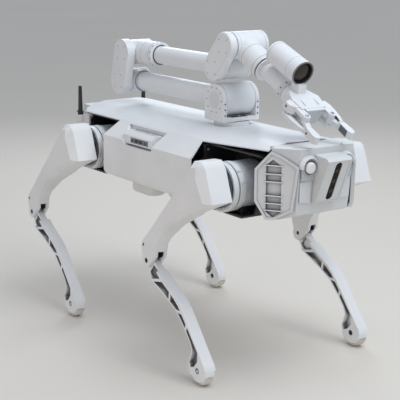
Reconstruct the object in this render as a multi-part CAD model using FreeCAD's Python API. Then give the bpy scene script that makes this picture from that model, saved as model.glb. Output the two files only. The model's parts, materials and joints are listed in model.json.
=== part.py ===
import FreeCAD, Part
import math
import os

# Four-legged robot with a folded arm on its back.
# Frame: +X towards the nose, +Y to the robot's left, +Z up.  The origin is on the floor
# under the centre of the whole robot's box.  Everything is in millimetres.

# ---- driving dimensions ----
ORIGIN_X = -19.7          # trunk centre, seen from the origin

TRUNK_HALF_LENGTH = 229.0
TRUNK_HALF_WIDTH = 197.0
TRUNK_BOTTOM = 446.0
SIDE_TOP = 570.0          # upper end of the upright side face
DECK_EDGE_Y = 146.0
DECK_EDGE_Z = 612.5
DECK_FLAT_Y = 62.0
DECK_TOP = 637.0
DECK_FRONT = 470.0
DECK_FRONT_Y = 121.0      # the deck narrows to this half width at its front end
DECK_REAR = -445.0
COVER_WALL = 4.0
BELLY_HOLES_X = 200.0     # payload bolt pattern in the belly pan
BELLY_HOLES_Y = 120.0
BELLY_HOLE_RADIUS = 2.6

HIP_FRONT_X = 355.0
HIP_REAR_X = -330.0
HIP_Z = 514.0
ROLL_AXIS_Y = 92.0
THIGH_LENGTH = 308.7
THIGH_LEAN = 41.7         # backwards from upright, at rest
CALF_LENGTH = 344.9
CALF_LEAN = 45.1          # forwards from upright, at rest
LEG_OUTER_Y = 287.0
LEG_INNER_Y = 250.0
THIGH_HUB_INNER_Y = 207.0
CHEEK_THICKNESS = 8.5
FOOT_RADIUS = 40.0
SOLE_THICKNESS = 3.5
SOLE_TOP = -13.0          # upper edge of the sole, from the foot's centre

HIP_RING_RADIUS = 66.0
HIP_MOTOR_RADIUS = 63.5
HIP_MOTOR_OUTER_Y = 190.0
HIP_MOTOR_INNER_Y = 78.0
KNEE_MOTOR_RADIUS = 46.0
JOURNAL_RADIUS = 30.0
TRUNNION_RADIUS = 14.0
KNEE_PIN_RADIUS = 6.0
RUNNING_GAP = 0.05        # radial clearance of every shaft in its bore
LUG_NEAR = 64.5           # hip bracket lugs, along X from the hip axis
LUG_FAR = 71.5

BULKHEAD_X = 225.0
BULKHEAD_THICKNESS = 6.0
SPINE_HALF_WIDTH = 44.0

HEAD_REAR = 455.0
CHEEK_REAR = (465.0, 162.0)
CHEEK_FRONT = (560.0, 95.0)
CHEEK_CORNERS = [          # along the cheek towards the rear, then height
    (-58, 579), (-16, 625), (18, 612), (58, 589), (42, 475), (-4, 450), (-28, 448), (-58, 495),
]
CHEEK_PLATE_DEPTH = 11.0
NOSE_SLOPE = 22.2         # the nose face leans forward at its top
NOSE_CENTRE = (585.0, 548.35)
ANTENNA_X = -506.0
ANTENNA_Y = -119.0

ARM_X = 148.0             # turret axis, and the shoulder axis above it
SHOULDER_Z = 708.0
ARM_BASE_TOP = 648.0
ELBOW = (-361.0, 708.0)
ELBOW_UPPER = (-340.0, 797.0)
WRIST_LOWER = (140.0, 797.0)
WRIST_UPPER = (192.0, 860.0)
LINK_OUTER_Y = 66.0       # near face of both arm link plates
LINK_INNER_Y = 41.0
ARM_SHAFT_RADIUS = 14.0
TOOL_SLOPE = 27.5         # the tool axis points down this far, at rest
KNUCKLE_X = 362.0         # finger hinge, along the tool axis from the upper wrist centre
KNUCKLE_Y = 42.0
EAR_RADIUS = 10.0
CAMERA_RADIUS = 33.0

X_AXIS = FreeCAD.Vector(1, 0, 0)
Y_AXIS = FreeCAD.Vector(0, 1, 0)
Z_AXIS = FreeCAD.Vector(0, 0, 1)


# ---- shape helpers ----
def vec(x, y, z):
    return FreeCAD.Vector(x, y, z)


def box(x0, x1, y0, y1, z0, z1):
    return Part.makeBox(x1 - x0, y1 - y0, z1 - z0, vec(x0, y0, z0))


def rod(start, axis, radius, length):
    return Part.makeCylinder(radius, length, vec(*start), axis)


def rod_y(x, z, radius, y0, y1):
    return rod((x, y0, z), Y_AXIS, radius, y1 - y0)


def rod_x(y, z, radius, x0, x1):
    return rod((x0, y, z), X_AXIS, radius, x1 - x0)


def rod_z(x, y, radius, z0, z1):
    return rod((x, y, z0), Z_AXIS, radius, z1 - z0)


def wire(points):
    corners = [vec(*point) for point in points]
    return Part.makePolygon(corners + corners[:1])


def sweep(points, direction):
    """A flat outline of 3-D points, pushed along a vector."""
    return Part.Face(wire(points)).extrude(direction)


def prism_xz(outline, y0, y1):
    return sweep([(x, y0, z) for x, z in outline], vec(0, y1 - y0, 0))


def prism_yz(outline, x0, x1):
    return sweep([(x0, y, z) for y, z in outline], vec(x1 - x0, 0, 0))


def prism_xy(outline, z0, z1):
    return sweep([(x, y, z0) for x, y in outline], vec(0, 0, z1 - z0))


def loft(*outlines):
    return Part.makeLoft([wire(outline) for outline in outlines], True, True)


def fuse(shapes):
    shapes = list(shapes)
    joined = shapes[0].multiFuse(shapes[1:]) if len(shapes) > 1 else shapes[0]
    return joined.removeSplitter()


def group(shapes):
    return Part.makeCompound(list(shapes))


def mirror_y(shape):
    return shape.mirror(vec(0, 0, 0), Y_AXIS)


def both_sides(shape):
    return group([shape, mirror_y(shape)])


def moved(shape, x=0.0, y=0.0, z=0.0):
    copy = shape.copy()
    copy.translate(vec(x, y, z))
    return copy


def turned(shape, axis, degrees, x=0.0, y=0.0, z=0.0):
    """Turn a shape about a line through the origin, then move it into place."""
    copy = shape.copy()
    copy.rotate(vec(0, 0, 0), axis, degrees)
    copy.translate(vec(x, y, z))
    return copy


def rounded_rod(centre, radius, y0, y1, edge_radius):
    """A short rod along Y with rounded ends."""
    plain = rod_y(centre[0], centre[1], radius, y0, y1)
    return plain.makeFillet(edge_radius, [edge for edge in plain.Edges if edge.BoundBox.YLength < 0.1])


def stadium_y(start, end, radius, y0, y1):
    """A plate with two round ends, standing in the XZ plane."""
    dx = end[0] - start[0]
    dz = end[1] - start[1]
    reach = math.hypot(dx, dz)
    nx = -dz / reach * radius
    nz = dx / reach * radius
    middle = [
        (start[0] + nx, start[1] + nz), (end[0] + nx, end[1] + nz),
        (end[0] - nx, end[1] - nz), (start[0] - nx, start[1] - nz),
    ]
    ends = [rod_y(x, z, radius, y0, y1) for x, z in (start, end)]
    return fuse([prism_xz(middle, y0, y1)] + ends)


def arc_points(centre, radius, first, last, steps):
    """Points of a round stretch, in degrees, in the outline's own two axes."""
    turns = [math.radians(first + (last - first) * i / steps) for i in range(steps + 1)]
    return [(centre[0] + radius * math.cos(t), centre[1] + radius * math.sin(t)) for t in turns]


def round_edges(shape, radius, chosen):
    edges = [edge for edge in shape.Edges if chosen(edge)]
    return shape.makeFillet(radius, edges)


def is_parallel(edge, axis):
    first = edge.Vertexes[0].Point
    last = edge.Vertexes[-1].Point
    run = last.sub(first)
    return run.Length > 1.0 and abs(abs(run.dot(axis)) - run.Length) < 0.001


# ---- trunk ----
def chassis_frame():
    """Black inner frame: tray, two inner bulkheads, two spines, two end bulkheads, top deck."""
    front_end = HIP_FRONT_X + 92.0
    rear_end = HIP_REAR_X - 92.0
    solids = [
        box(-BULKHEAD_X, BULKHEAD_X, -150, 150, TRUNK_BOTTOM, TRUNK_BOTTOM + 4),
        box(rear_end - 6, front_end + 6, -136, 136, 603, 607),
        box(front_end, front_end + 6, -118, 118, 460, 603),
        box(rear_end - 6, rear_end, -118, 118, 460, 603),
    ]
    for side in (1, -1):
        near = side * BULKHEAD_X
        far = side * (BULKHEAD_X + BULKHEAD_THICKNESS)
        solids.append(box(min(near, far), max(near, far), -150, 150, TRUNK_BOTTOM, 603))
    for x0, x1 in ((BULKHEAD_X + 6, front_end), (rear_end, -BULKHEAD_X - 6)):
        spine = box(x0, x1, -SPINE_HALF_WIDTH, SPINE_HALF_WIDTH, 470, 603)
        hollow = box(x0, x1, 6 - SPINE_HALF_WIDTH, SPINE_HALF_WIDTH - 6, 476, 597)
        solids.append(spine.cut(hollow))
    frame = fuse(solids)
    for y in (-ROLL_AXIS_Y, ROLL_AXIS_Y):
        frame = frame.cut(rod_x(y, HIP_Z, TRUNNION_RADIUS + RUNNING_GAP, front_end - 1, front_end + 7))
        frame = frame.cut(rod_x(y, HIP_Z, TRUNNION_RADIUS + RUNNING_GAP, rear_end - 7, rear_end + 1))
        frame = frame.cut(rod_x(y, HIP_Z, 18, -BULKHEAD_X - 7, BULKHEAD_X + 7))
    return frame.cut(belly_bolt_holes())


def top_cover():
    outer = [
        (-DECK_EDGE_Y, DECK_EDGE_Z), (-100, 630), (-DECK_FLAT_Y, DECK_TOP),
        (DECK_FLAT_Y, DECK_TOP), (100, 630), (DECK_EDGE_Y, DECK_EDGE_Z),
    ]
    inner = [(y, z - COVER_WALL - 0.5) for y, z in reversed(outer)]
    cover = prism_yz(outer + inner, DECK_REAR, DECK_FRONT)
    trims = []
    for side in (1, -1):
        trims.append(prism_xy([
            (DECK_REAR - 1, side * 128), (DECK_REAR + 26, side * 150), (DECK_REAR - 1, side * 150),
        ], 600, 640))
        trims.append(prism_xy([
            (213, side * DECK_EDGE_Y), (DECK_FRONT + 1, side * DECK_FRONT_Y), (DECK_FRONT + 1, side * 150),
            (213, side * 150),
        ], 600, 640))
    return cover.cut(fuse(trims))


def side_port_recess(grow):
    """Sunken bay in the sloping shoulder of a side cover (right side)."""
    return sweep([
        (-152 - grow, -DECK_EDGE_Y + grow, 608 + grow), (46 + grow, -DECK_EDGE_Y + grow, 608 + grow),
        (34 + grow, -DECK_EDGE_Y + grow, 556 - grow), (-108 - grow, -DECK_EDGE_Y + grow, 556 - grow),
    ], vec(0, -52 - grow, 0))


def side_cover():
    """Right side: an upright face, a sloping shoulder, a tucked-in lower edge and the port bay."""
    outer = [
        (-162, TRUNK_BOTTOM), (-190, 452), (-TRUNK_HALF_WIDTH, 464),
        (-TRUNK_HALF_WIDTH, SIDE_TOP), (-DECK_EDGE_Y, DECK_EDGE_Z),
    ]
    inner = [(-DECK_EDGE_Y, 608), (-192.5, 568), (-192.5, 466), (-187.5, 457), (-162, 451)]
    cover = prism_yz(outer + inner, -TRUNK_HALF_LENGTH, TRUNK_HALF_LENGTH)
    end = TRUNK_HALF_LENGTH
    for side in (1, -1):
        slant = [(side * (end + 1), 569), (side * (end + 4), 569), (side * (end + 4), 615), (side * 211, 615)]
        cover = cover.cut(prism_xz(slant, -TRUNK_HALF_WIDTH - 1, -DECK_EDGE_Y + 1))
    bay = side_port_recess(0)
    walls = side_port_recess(3).cut(bay)
    inward = [(-DECK_EDGE_Y, 606), (4 - DECK_EDGE_Y, 606), (4 - DECK_EDGE_Y, TRUNK_BOTTOM)]
    within = prism_yz(outer + inward, -200, 200)
    hood = prism_yz([(-190, 562), (-190, 586), (-176, 596), (-150, 596), (-150, 562)], -128, 26)
    return fuse([cover.cut(bay), walls.common(within), hood])


def belly_bolt_holes():
    return fuse([
        rod_z(x, y, BELLY_HOLE_RADIUS, TRUNK_BOTTOM - 7, TRUNK_BOTTOM + 4.5)
        for x in (-BELLY_HOLES_X / 2, BELLY_HOLES_X / 2)
        for y in (-BELLY_HOLES_Y / 2, BELLY_HOLES_Y / 2)
    ])


def belly_pan():
    half = TRUNK_HALF_LENGTH
    pan = box(-half, half, -161.5, 161.5, TRUNK_BOTTOM - 6, TRUNK_BOTTOM)
    pod = box(-142, -26, -160, -96, 410, TRUNK_BOTTOM - 6)
    pod = round_edges(pod, 26, lambda edge: is_parallel(edge, Z_AXIS))
    pod = round_edges(pod, 12, lambda edge: edge.BoundBox.ZMax < 411)
    return fuse([pan, pod, mirror_y(pod)]).cut(belly_bolt_holes())


def battery_pack():
    pack = box(-150, 150, -140, 140, TRUNK_BOTTOM + 5, 548)
    return round_edges(pack, 8, lambda edge: is_parallel(edge, Z_AXIS))


def control_unit():
    unit = box(-135, 135, -95, 95, 552, 588)
    fins = [box(-130, 130, y, y + 4, 588, 599) for y in range(-90, 90, 14)]
    return fuse([unit] + fins)


def hip_roll_motors():
    motors = []
    for side in (1, -1):
        for y in (-ROLL_AXIS_Y, ROLL_AXIS_Y):
            near = min(side * 160, side * 222)
            body = rod_x(y, HIP_Z, 44, near, near + 62)
            bore_start = 196 if side > 0 else -223
            bore = rod_x(y, HIP_Z, TRUNNION_RADIUS + RUNNING_GAP, bore_start, bore_start + 27)
            motors.append(body.cut(bore))
    return group(motors)


def head_outline(x_rear, y_rear, x_mid, y_mid, x_front, y_front, z):
    right = [(x_rear, -y_rear, z), (x_mid, -y_mid, z), (x_front, -y_front, z)]
    left = [(x, -y, z) for x, y, z in reversed(right)]
    return right + left


def nose_profile():
    return [
        (530, 484), (562, 492), (608, 604.7), (601, 612), (530, 619),
    ]


def head_shell():
    """Hollow head: six-sided body cut back along the cheeks' slanting rear corners, nose block, lamp bays."""
    outer = loft(
        head_outline(HEAD_REAR, 122, 466, 140, 538, 86, 447),
        head_outline(HEAD_REAR, 140, 466, 148, 545, 88, 500),
        head_outline(HEAD_REAR, 142, 466, 150, 556, 88, 633),
    )
    inner = loft(
        head_outline(HEAD_REAR - 1, 116, 464, 134, 532, 82, 452),
        head_outline(HEAD_REAR - 1, 134, 464, 142, 539, 84, 500),
        head_outline(HEAD_REAR - 1, 128, 464, 138, 548, 82, 626),
    )
    outer = outer.cut(prism_xz([(500, 446.5), (570, 446.5), (570, 473.7)], -151, 151))
    inner = inner.cut(prism_xz([(480, 446), (570, 446), (570, 482)], -151, 151))
    nose = prism_xz(nose_profile(), -40, 40)
    nose_hollow = prism_xz([(524, 492), (548, 496), (589, 592), (524, 606)], -34, 34)
    lamp_pockets = [rod_x(side * 60, 586, 19, 549, 575) for side in (1, -1)]
    shell = fuse([outer, nose]).cut(inner).cut(nose_hollow).cut(fuse(lamp_pockets))
    panel_seat = turned(box(-9, 8, -34, 34, -57.5, 57.5), Y_AXIS, NOSE_SLOPE, NOSE_CENTRE[0], 0, NOSE_CENTRE[1])
    arm_side = box(HEAD_REAR - 2, DECK_FRONT, -DECK_EDGE_Y - 1, DECK_EDGE_Y + 1, 603, 640)
    cheek_seat = on_cheek(prism_yz(CHEEK_CORNERS, -CHEEK_PLATE_DEPTH, 20))
    corners = [
        [(-58.5, 579.5), (-16, 626), (-16, 660), (-90, 660), (-90, 579.5)],
        [(-58.5, 494.5), (-28, 447.5), (-28, 430), (-90, 430), (-90, 494.5)],
    ]
    corner_cuts = [on_cheek(prism_yz(corner, -34, 20)) for corner in corners]
    shell = shell.cut(panel_seat).cut(arm_side).cut(both_sides(cheek_seat))
    return shell.cut(both_sides(fuse(corner_cuts)))


def on_cheek(shape):
    """Place a shape drawn with its outer face at x = 0 onto the slanting right cheek."""
    dx = CHEEK_FRONT[0] - CHEEK_REAR[0]
    dy = CHEEK_REAR[1] - CHEEK_FRONT[1]
    middle_x = (CHEEK_REAR[0] + CHEEK_FRONT[0]) / 2
    middle_y = -(CHEEK_REAR[1] + CHEEK_FRONT[1]) / 2
    return turned(shape, Z_AXIS, -math.degrees(math.atan2(dx, dy)), middle_x, middle_y, 0)


def cheek_plate():
    """Right cheek: an eight-sided plate with a low rim, and six louvre ribs across a pointed channel."""
    plate = prism_yz(CHEEK_CORNERS, -CHEEK_PLATE_DEPTH, 0)
    floor_corners = [(v * 0.88, 537 + (z - 537) * 0.92) for v, z in CHEEK_CORNERS]
    channel = [(-10, 605), (12, 590), (12, 470), (-10, 456), (-28, 470), (-28, 590)]
    plate = plate.cut(prism_yz(floor_corners, -2, 1)).cut(prism_yz(channel, -8, 1))
    ribs = [box(-8.5, -2, -28.5, 12.5, z - 1.5, z + 1.5) for z in (589, 567, 547, 511, 491, 473)]
    return on_cheek(fuse([plate] + ribs))


def nose_slot(half_height, half_width, x0, x1):
    middle = box(x0, x1, -half_width, half_width, half_width - half_height, half_height - half_width)
    ends = [rod_x(0, z, half_width, x0, x1) for z in (half_width - half_height, half_height - half_width)]
    return fuse([middle] + ends)


def nose_panel():
    plate = box(-9, -0.5, -33.5, 33.5, -57, 57)
    plate = plate.cut(nose_slot(55.5, 10.5, -10, 0))
    return turned(plate, Y_AXIS, NOSE_SLOPE, NOSE_CENTRE[0], 0, NOSE_CENTRE[1])


def nose_window():
    glass = nose_slot(55.3, 10.3, -8.5, -2.5)
    return turned(glass, Y_AXIS, NOSE_SLOPE, NOSE_CENTRE[0], 0, NOSE_CENTRE[1])


def head_lamps():
    body = rod_x(-60, 586, 18.5, 549.5, 560)
    dome = rod_x(-60, 586, 15, 560, 568)
    dome = round_edges(dome, 5, lambda edge: edge.BoundBox.XMin > 567.9)
    return both_sides(fuse([body, dome]))


def rear_section(x, half_width, bottom, top):
    return [
        (x, -half_width, bottom + 20), (x, -half_width + 26, bottom), (x, half_width - 26, bottom),
        (x, half_width, bottom + 20), (x, half_width, top - 12), (x, half_width - 30, top),
        (x, 30 - half_width, top), (x, -half_width, top - 12),
    ]


def rear_cover():
    front = HIP_REAR_X - 98.0
    outer = loft(rear_section(front, 132, 462, 606), rear_section(-518, 112, 500, 600))
    inner = loft(rear_section(front + 1, 126, 468, 600), rear_section(-512, 107, 505, 595))
    boss = rod_z(ANTENNA_X, ANTENNA_Y, 13, 560, 588)
    tail = box(DECK_REAR - 60, DECK_REAR, -110, 110, 600, 622)
    tail = round_edges(tail, 12, lambda edge: is_parallel(edge, Z_AXIS) and edge.BoundBox.XMax < DECK_REAR - 50)
    socket = rod_z(ANTENNA_X, ANTENNA_Y, 9.05, 588, 640)
    return fuse([outer, boss, mirror_y(boss), tail]).cut(inner).cut(both_sides(socket))


def antennas():
    foot = rod_z(ANTENNA_X, ANTENNA_Y, 9, 588, 596)
    mast = Part.makeCone(7.5, 5.5, 84, vec(ANTENNA_X, ANTENNA_Y, 596), Z_AXIS)
    mast = round_edges(mast, 2.5, lambda edge: edge.BoundBox.ZMin > 679)
    return both_sides(fuse([foot, mast]))


def trunk_screws():
    """Identical button-head screws that hold the side covers and the belly pan."""
    screws = []
    for x in (-205, -8, 98, 205):
        for y in (-130, 130):
            screws.append(rod_z(x, y, 4, TRUNK_BOTTOM - 9, TRUNK_BOTTOM - 6))
    return group(screws)


def arm_base():
    """Fixed ring on the top cover that the turret's spigot turns in."""
    ring = rod_z(ARM_X, 0, 50, DECK_TOP, ARM_BASE_TOP)
    ring = round_edges(ring, 1.5, lambda edge: edge.BoundBox.ZMin > ARM_BASE_TOP - 1)
    return ring.cut(rod_z(ARM_X, 0, JOURNAL_RADIUS + RUNNING_GAP, DECK_TOP + 2, ARM_BASE_TOP + 1))


# ---- leg, right side, with the hip axis at x = z = 0 ----
def thigh_xz(along, ahead):
    """A point given along the thigh from the hip axis, and ahead of its centre line."""
    lean = math.radians(THIGH_LEAN)
    return (
        -along * math.sin(lean) + ahead * math.cos(lean),
        -along * math.cos(lean) - ahead * math.sin(lean),
    )


def calf_xz(along, ahead):
    """A point given along the calf from the knee, and ahead of its centre line."""
    lean = math.radians(CALF_LEAN)
    knee_x, knee_z = thigh_xz(THIGH_LENGTH, 0)
    return (
        knee_x + along * math.sin(lean) + ahead * math.cos(lean),
        knee_z - along * math.cos(lean) + ahead * math.sin(lean),
    )


def at_depth(outline, place, y):
    return [(place(a, b)[0], y, place(a, b)[1]) for a, b in outline]


def local_prism(outline, place, y0, y1):
    return sweep(at_depth(outline, place, y0), vec(0, y1 - y0, 0))


def rectangle(a0, a1, b0, b1):
    return [(a0, b0), (a1, b0), (a1, b1), (a0, b1)]


def thigh_cover():
    """Faceted cover: flat outer plate, chamfered rim, round knee fork, open hub."""
    knee_end = arc_points((THIGH_LENGTH, 0), 22, 75, -75, 10)
    rim = [(-78, -4), (-36, 74), (78, 20), (155, 2), (232, 4), (266, 23)]
    rim += knee_end + [(300, -47), (280, -56), (239, -58), (68, -52), (-58, -52), (-80, -30)]
    plate_knee = arc_points((THIGH_LENGTH, 0), 19, 75, -75, 10)
    plate = [(-48, -8), (-24, 58), (72, 9), (153, -6), (232, -2), (262, 19)]
    plate += plate_knee + [(299, -42), (280, -49), (239, -46), (68, -37), (-52, -36), (-70, -24)]
    plate_y = -LEG_OUTER_Y
    rim_y = -LEG_OUTER_Y + 17
    bevel = loft(at_depth(plate, thigh_xz, plate_y), at_depth(rim, thigh_xz, rim_y))
    body = local_prism(rim, thigh_xz, rim_y, -THIGH_HUB_INNER_Y)
    cover = fuse([bevel, body])
    taper = [(92, -THIGH_HUB_INNER_Y + 1), (205, -LEG_INNER_Y), (360, -LEG_INNER_Y), (360, -190), (92, -190)]
    start = [thigh_xz(a, -120) for a, y in taper]
    end = thigh_xz(0, 240)
    wedge = sweep([(p[0], y, p[1]) for p, (a, y) in zip(start, taper)], vec(end[0], 0, end[1]))
    slot_y = (-LEG_OUTER_Y + CHEEK_THICKNESS, -LEG_INNER_Y - CHEEK_THICKNESS)
    slot = local_prism(rectangle(252, 360, -120, 120), thigh_xz, slot_y[0], slot_y[1])
    hub = rod_y(0, 0, KNEE_MOTOR_RADIUS + 1, -262, -THIGH_HUB_INNER_Y + 1)
    knee = thigh_xz(THIGH_LENGTH, 0)
    rear_hole = thigh_xz(THIGH_LENGTH - 22, -39)
    pin_hole = rod_y(knee[0], knee[1], KNEE_PIN_RADIUS, -300, -240)
    pin_recess = rod_y(knee[0], knee[1], 7.5, -300, -LEG_OUTER_Y + 2.5)
    screw_recess = rod_y(rear_hole[0], rear_hole[1], 4.5, -300, -LEG_OUTER_Y + 4)
    return cover.cut(fuse([wedge, slot, hub])).cut(pin_hole).cut(pin_recess).cut(screw_recess)


def knee_motor():
    """Motor inside the thigh hub, its flange, and the journal that turns in the hip motor."""
    return fuse([
        rod_y(0, 0, KNEE_MOTOR_RADIUS, -257, -THIGH_HUB_INNER_Y),
        rod_y(0, 0, 54, -THIGH_HUB_INNER_Y, -194),
        rod_y(0, 0, JOURNAL_RADIUS - RUNNING_GAP / 2, -194, -166),
    ])


def knee_pin():
    """Pin through both fork cheeks, and the screw behind it."""
    knee = thigh_xz(THIGH_LENGTH, 0)
    rear_hole = thigh_xz(THIGH_LENGTH - 22, -39)
    pin = rod_y(knee[0], knee[1], KNEE_PIN_RADIUS, -LEG_OUTER_Y + 2.5, -LEG_INNER_Y)
    head = rod_y(knee[0], knee[1], 7.2, -LEG_OUTER_Y + 1, -LEG_OUTER_Y + 2.5)
    socket = rod_y(knee[0], knee[1], 3, -LEG_OUTER_Y, -LEG_OUTER_Y + 5)
    screw = rod_y(rear_hole[0], rear_hole[1], 4.3, -LEG_OUTER_Y + 1.5, -LEG_OUTER_Y + 4)
    screw = screw.cut(rod_y(rear_hole[0], rear_hole[1], 2, -LEG_OUTER_Y, -LEG_OUTER_Y + 3))
    return group([fuse([pin, head]).cut(socket), screw])


def hip_motor():
    """Hip motor on the Y axis: outer ring with a groove, then the can."""
    outer = -HIP_MOTOR_OUTER_Y
    ring_groove = HIP_RING_RADIUS - 2.5
    body = fuse([
        rod_y(0, 0, HIP_RING_RADIUS, outer, outer + 16),
        rod_y(0, 0, ring_groove, outer + 16, outer + 20),
        rod_y(0, 0, HIP_RING_RADIUS, outer + 20, outer + 37),
        rod_y(0, 0, HIP_MOTOR_RADIUS, outer + 37, -HIP_MOTOR_INNER_Y),
    ])
    return body.cut(rod_y(0, 0, JOURNAL_RADIUS + RUNNING_GAP / 2, outer - 1, -160))


def hip_bracket(inner_pin_end):
    """Black cradle under the hip motor, with a trunnion pin at each end along X."""
    lug = [(-132, -72), (-70, -72), (-62, -44), (-62, 28), (-122, 28), (-122, -50)]
    axis_y = -ROLL_AXIS_Y
    saddle = box(-40, 40, -148, -86, -67, -46).cut(rod_y(0, 0, HIP_MOTOR_RADIUS, -200, 0))
    return fuse([
        box(-LUG_FAR, LUG_FAR, -172, -70, -72, -67),
        prism_yz(lug, LUG_NEAR, LUG_FAR),
        prism_yz(lug, -LUG_FAR, -LUG_NEAR),
        saddle,
        rod_x(axis_y, 0, TRUNNION_RADIUS, LUG_FAR, 100),
        rod_x(axis_y, 0, TRUNNION_RADIUS, inner_pin_end, -LUG_FAR),
        rod_x(axis_y, 0, 20, LUG_FAR, LUG_FAR + 3),
        rod_x(axis_y, 0, 20, -LUG_FAR - 3, -LUG_FAR),
    ])


def calf():
    """Bent strut: full-width front band, thin rear rim, cross-struts between open pockets."""
    foot_end = arc_points((CALF_LENGTH, 0), FOOT_RADIUS - SOLE_THICKNESS, 96, -118, 20)
    knee_end = arc_points((0, 0), 19, -115, -245, 8)
    front = [(16, 20), (42, 23), (78, 30), (112, 39), (146, 48), (172, 51), (196, 51), (232, 48), (306, 40)]
    rear = [(318, -26), (307, -19), (297, 6), (288, 18), (270, 24), (237, 27), (177, 26), (139, 15)]
    rear += [(90, -4), (56, -18), (38, -25), (24, -23)]
    outline = front + foot_end + rear + knee_end
    outer_y = -LEG_OUTER_Y + 1.5
    inner_y = -LEG_INNER_Y - 1.5
    body = local_prism(outline, calf_xz, outer_y, inner_y)
    pockets = [
        [(27, -17), (38, -20), (52, -14), (72, 20), (40, 17), (24, 12)],
        [(61, -12), (90, 1), (135, 17), (122, 34), (84, 23)],
        [(143, 20), (174, 30), (187, 43), (172, 44), (146, 40), (131, 36)],
        [(184, 31), (232, 31), (226, 41), (198, 43)],
        [(241, 31), (272, 28), (291, 22), (301, 8), (309, -15), (322, -20), (329, -6), (327, 18), (310, 35), (236, 41)],
    ]
    depth = 14.0
    for outline in pockets:
        body = body.cut(local_prism(outline, calf_xz, outer_y - 1, outer_y + depth))
        body = body.cut(local_prism(outline, calf_xz, inner_y - depth, inner_y + 1))
    slot_near = -LEG_OUTER_Y + CHEEK_THICKNESS + 0.5
    slot_far = -LEG_INNER_Y - CHEEK_THICKNESS - 0.5
    neck = [(-40, -70), (36, -70), (58, 70), (-40, 70)]
    body = body.cut(local_prism(neck, calf_xz, outer_y - 1, slot_near))
    body = body.cut(local_prism(neck, calf_xz, slot_far, inner_y + 1))
    knee = calf_xz(0, 0)
    foot = calf_xz(CALF_LENGTH, 0)
    body = body.cut(rod_y(knee[0], knee[1], KNEE_PIN_RADIUS + RUNNING_GAP, -300, -240))
    below = box(foot[0] - 50, foot[0] + 50, -300, -240, foot[1] - 50, foot[1] + 6)
    beyond = local_prism(rectangle(CALF_LENGTH - 4, CALF_LENGTH + 60, -60, 60), calf_xz, -300, -240)
    corners = rod_y(foot[0], foot[1], FOOT_RADIUS + 4, outer_y - 1, inner_y + 1)
    corners = corners.cut(rounded_rod(foot, FOOT_RADIUS - SOLE_THICKNESS, outer_y, inner_y, 8))
    body = body.cut(corners.common(below).common(beyond))
    return body.cut(rod_y(foot[0], foot[1], 8, -300, -240))


def foot_pad():
    """Rubber sole under the calf's round end, a little narrower than the calf."""
    foot = calf_xz(CALF_LENGTH, 0)
    pad = rounded_rod(foot, FOOT_RADIUS, -LEG_OUTER_Y + 3, -LEG_INNER_Y - 3, 9)
    above = box(foot[0] - 50, foot[0] + 50, -300, -240, foot[1] + SOLE_TOP, foot[1] + 50)
    return pad.cut(calf()).cut(above)


def leg_nodes(corner, hip_x, front, left):
    """All nodes of one leg, placed at its hip and mirrored for the left side."""
    pin_end = -(abs(hip_x) - 200.0)
    bracket = hip_bracket(pin_end)
    if not front:
        bracket = bracket.mirror(vec(0, 0, 0), X_AXIS)
    parts = {
        "hip_bracket": bracket,
        "hip_motor": hip_motor(),
        "thigh_cover": thigh_cover(),
        "knee_motor": knee_motor(),
        "knee_pin": knee_pin(),
        "calf": calf(),
        "foot_pad": foot_pad(),
    }
    nodes = {}
    for name, shape in parts.items():
        placed = moved(shape, hip_x, 0, HIP_Z)
        nodes[corner + "_" + name] = mirror_y(placed) if left else placed
    return nodes


# ---- arm ----
def arm_turret():
    """Yoke on the turret axis: floor, spigot and two round-topped side plates."""
    half = 45.0
    floor = box(ARM_X - half, ARM_X + half, -62, 62, 649.5, 661)
    solids = [floor, rod_z(ARM_X, 0, JOURNAL_RADIUS, 641, 649.5)]
    for y0 in (-62, 50):
        solids.append(box(ARM_X - half, ARM_X + half, y0, y0 + 12, 661, SHOULDER_Z))
        solids.append(rod_y(ARM_X, SHOULDER_Z, half, y0, y0 + 12))
    yoke = fuse(solids)
    return yoke.cut(rod_y(ARM_X, SHOULDER_Z, ARM_SHAFT_RADIUS + RUNNING_GAP, -70, 70))


def shoulder_motor():
    drum = rod_y(ARM_X, SHOULDER_Z, 46, -49, 49)
    drum = drum.makeFillet(3, [edge for edge in drum.Edges if edge.BoundBox.YLength < 0.1])
    return fuse([drum, rod_y(ARM_X, SHOULDER_Z, ARM_SHAFT_RADIUS, -61.5, 61.5)])


def elbow_drum():
    drum = rod_y(ELBOW[0], ELBOW[1], 36, -LINK_INNER_Y + 1, 38)
    drum = round_edges(drum, 4, lambda edge: edge.BoundBox.YMin > 37.9)
    return drum.cut(rod_y(ELBOW[0], ELBOW[1], ARM_SHAFT_RADIUS + RUNNING_GAP, -LINK_INNER_Y, -2))


def upper_arm_tube():
    tube = rod_x(0, SHOULDER_Z, 29, ELBOW[0] + 5, ARM_X - 5)
    collar = rod_x(0, SHOULDER_Z, 33, ELBOW[0] + 5, ELBOW[0] + 47)
    bore = rod_x(0, SHOULDER_Z, 25, ELBOW[0], ARM_X)
    shape = fuse([tube, collar]).cut(bore)
    shape = shape.cut(rod_y(ARM_X, SHOULDER_Z, 46, -60, 60))
    return shape.cut(rod_y(ELBOW[0], ELBOW[1], 36, -LINK_INNER_Y, 60))


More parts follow.
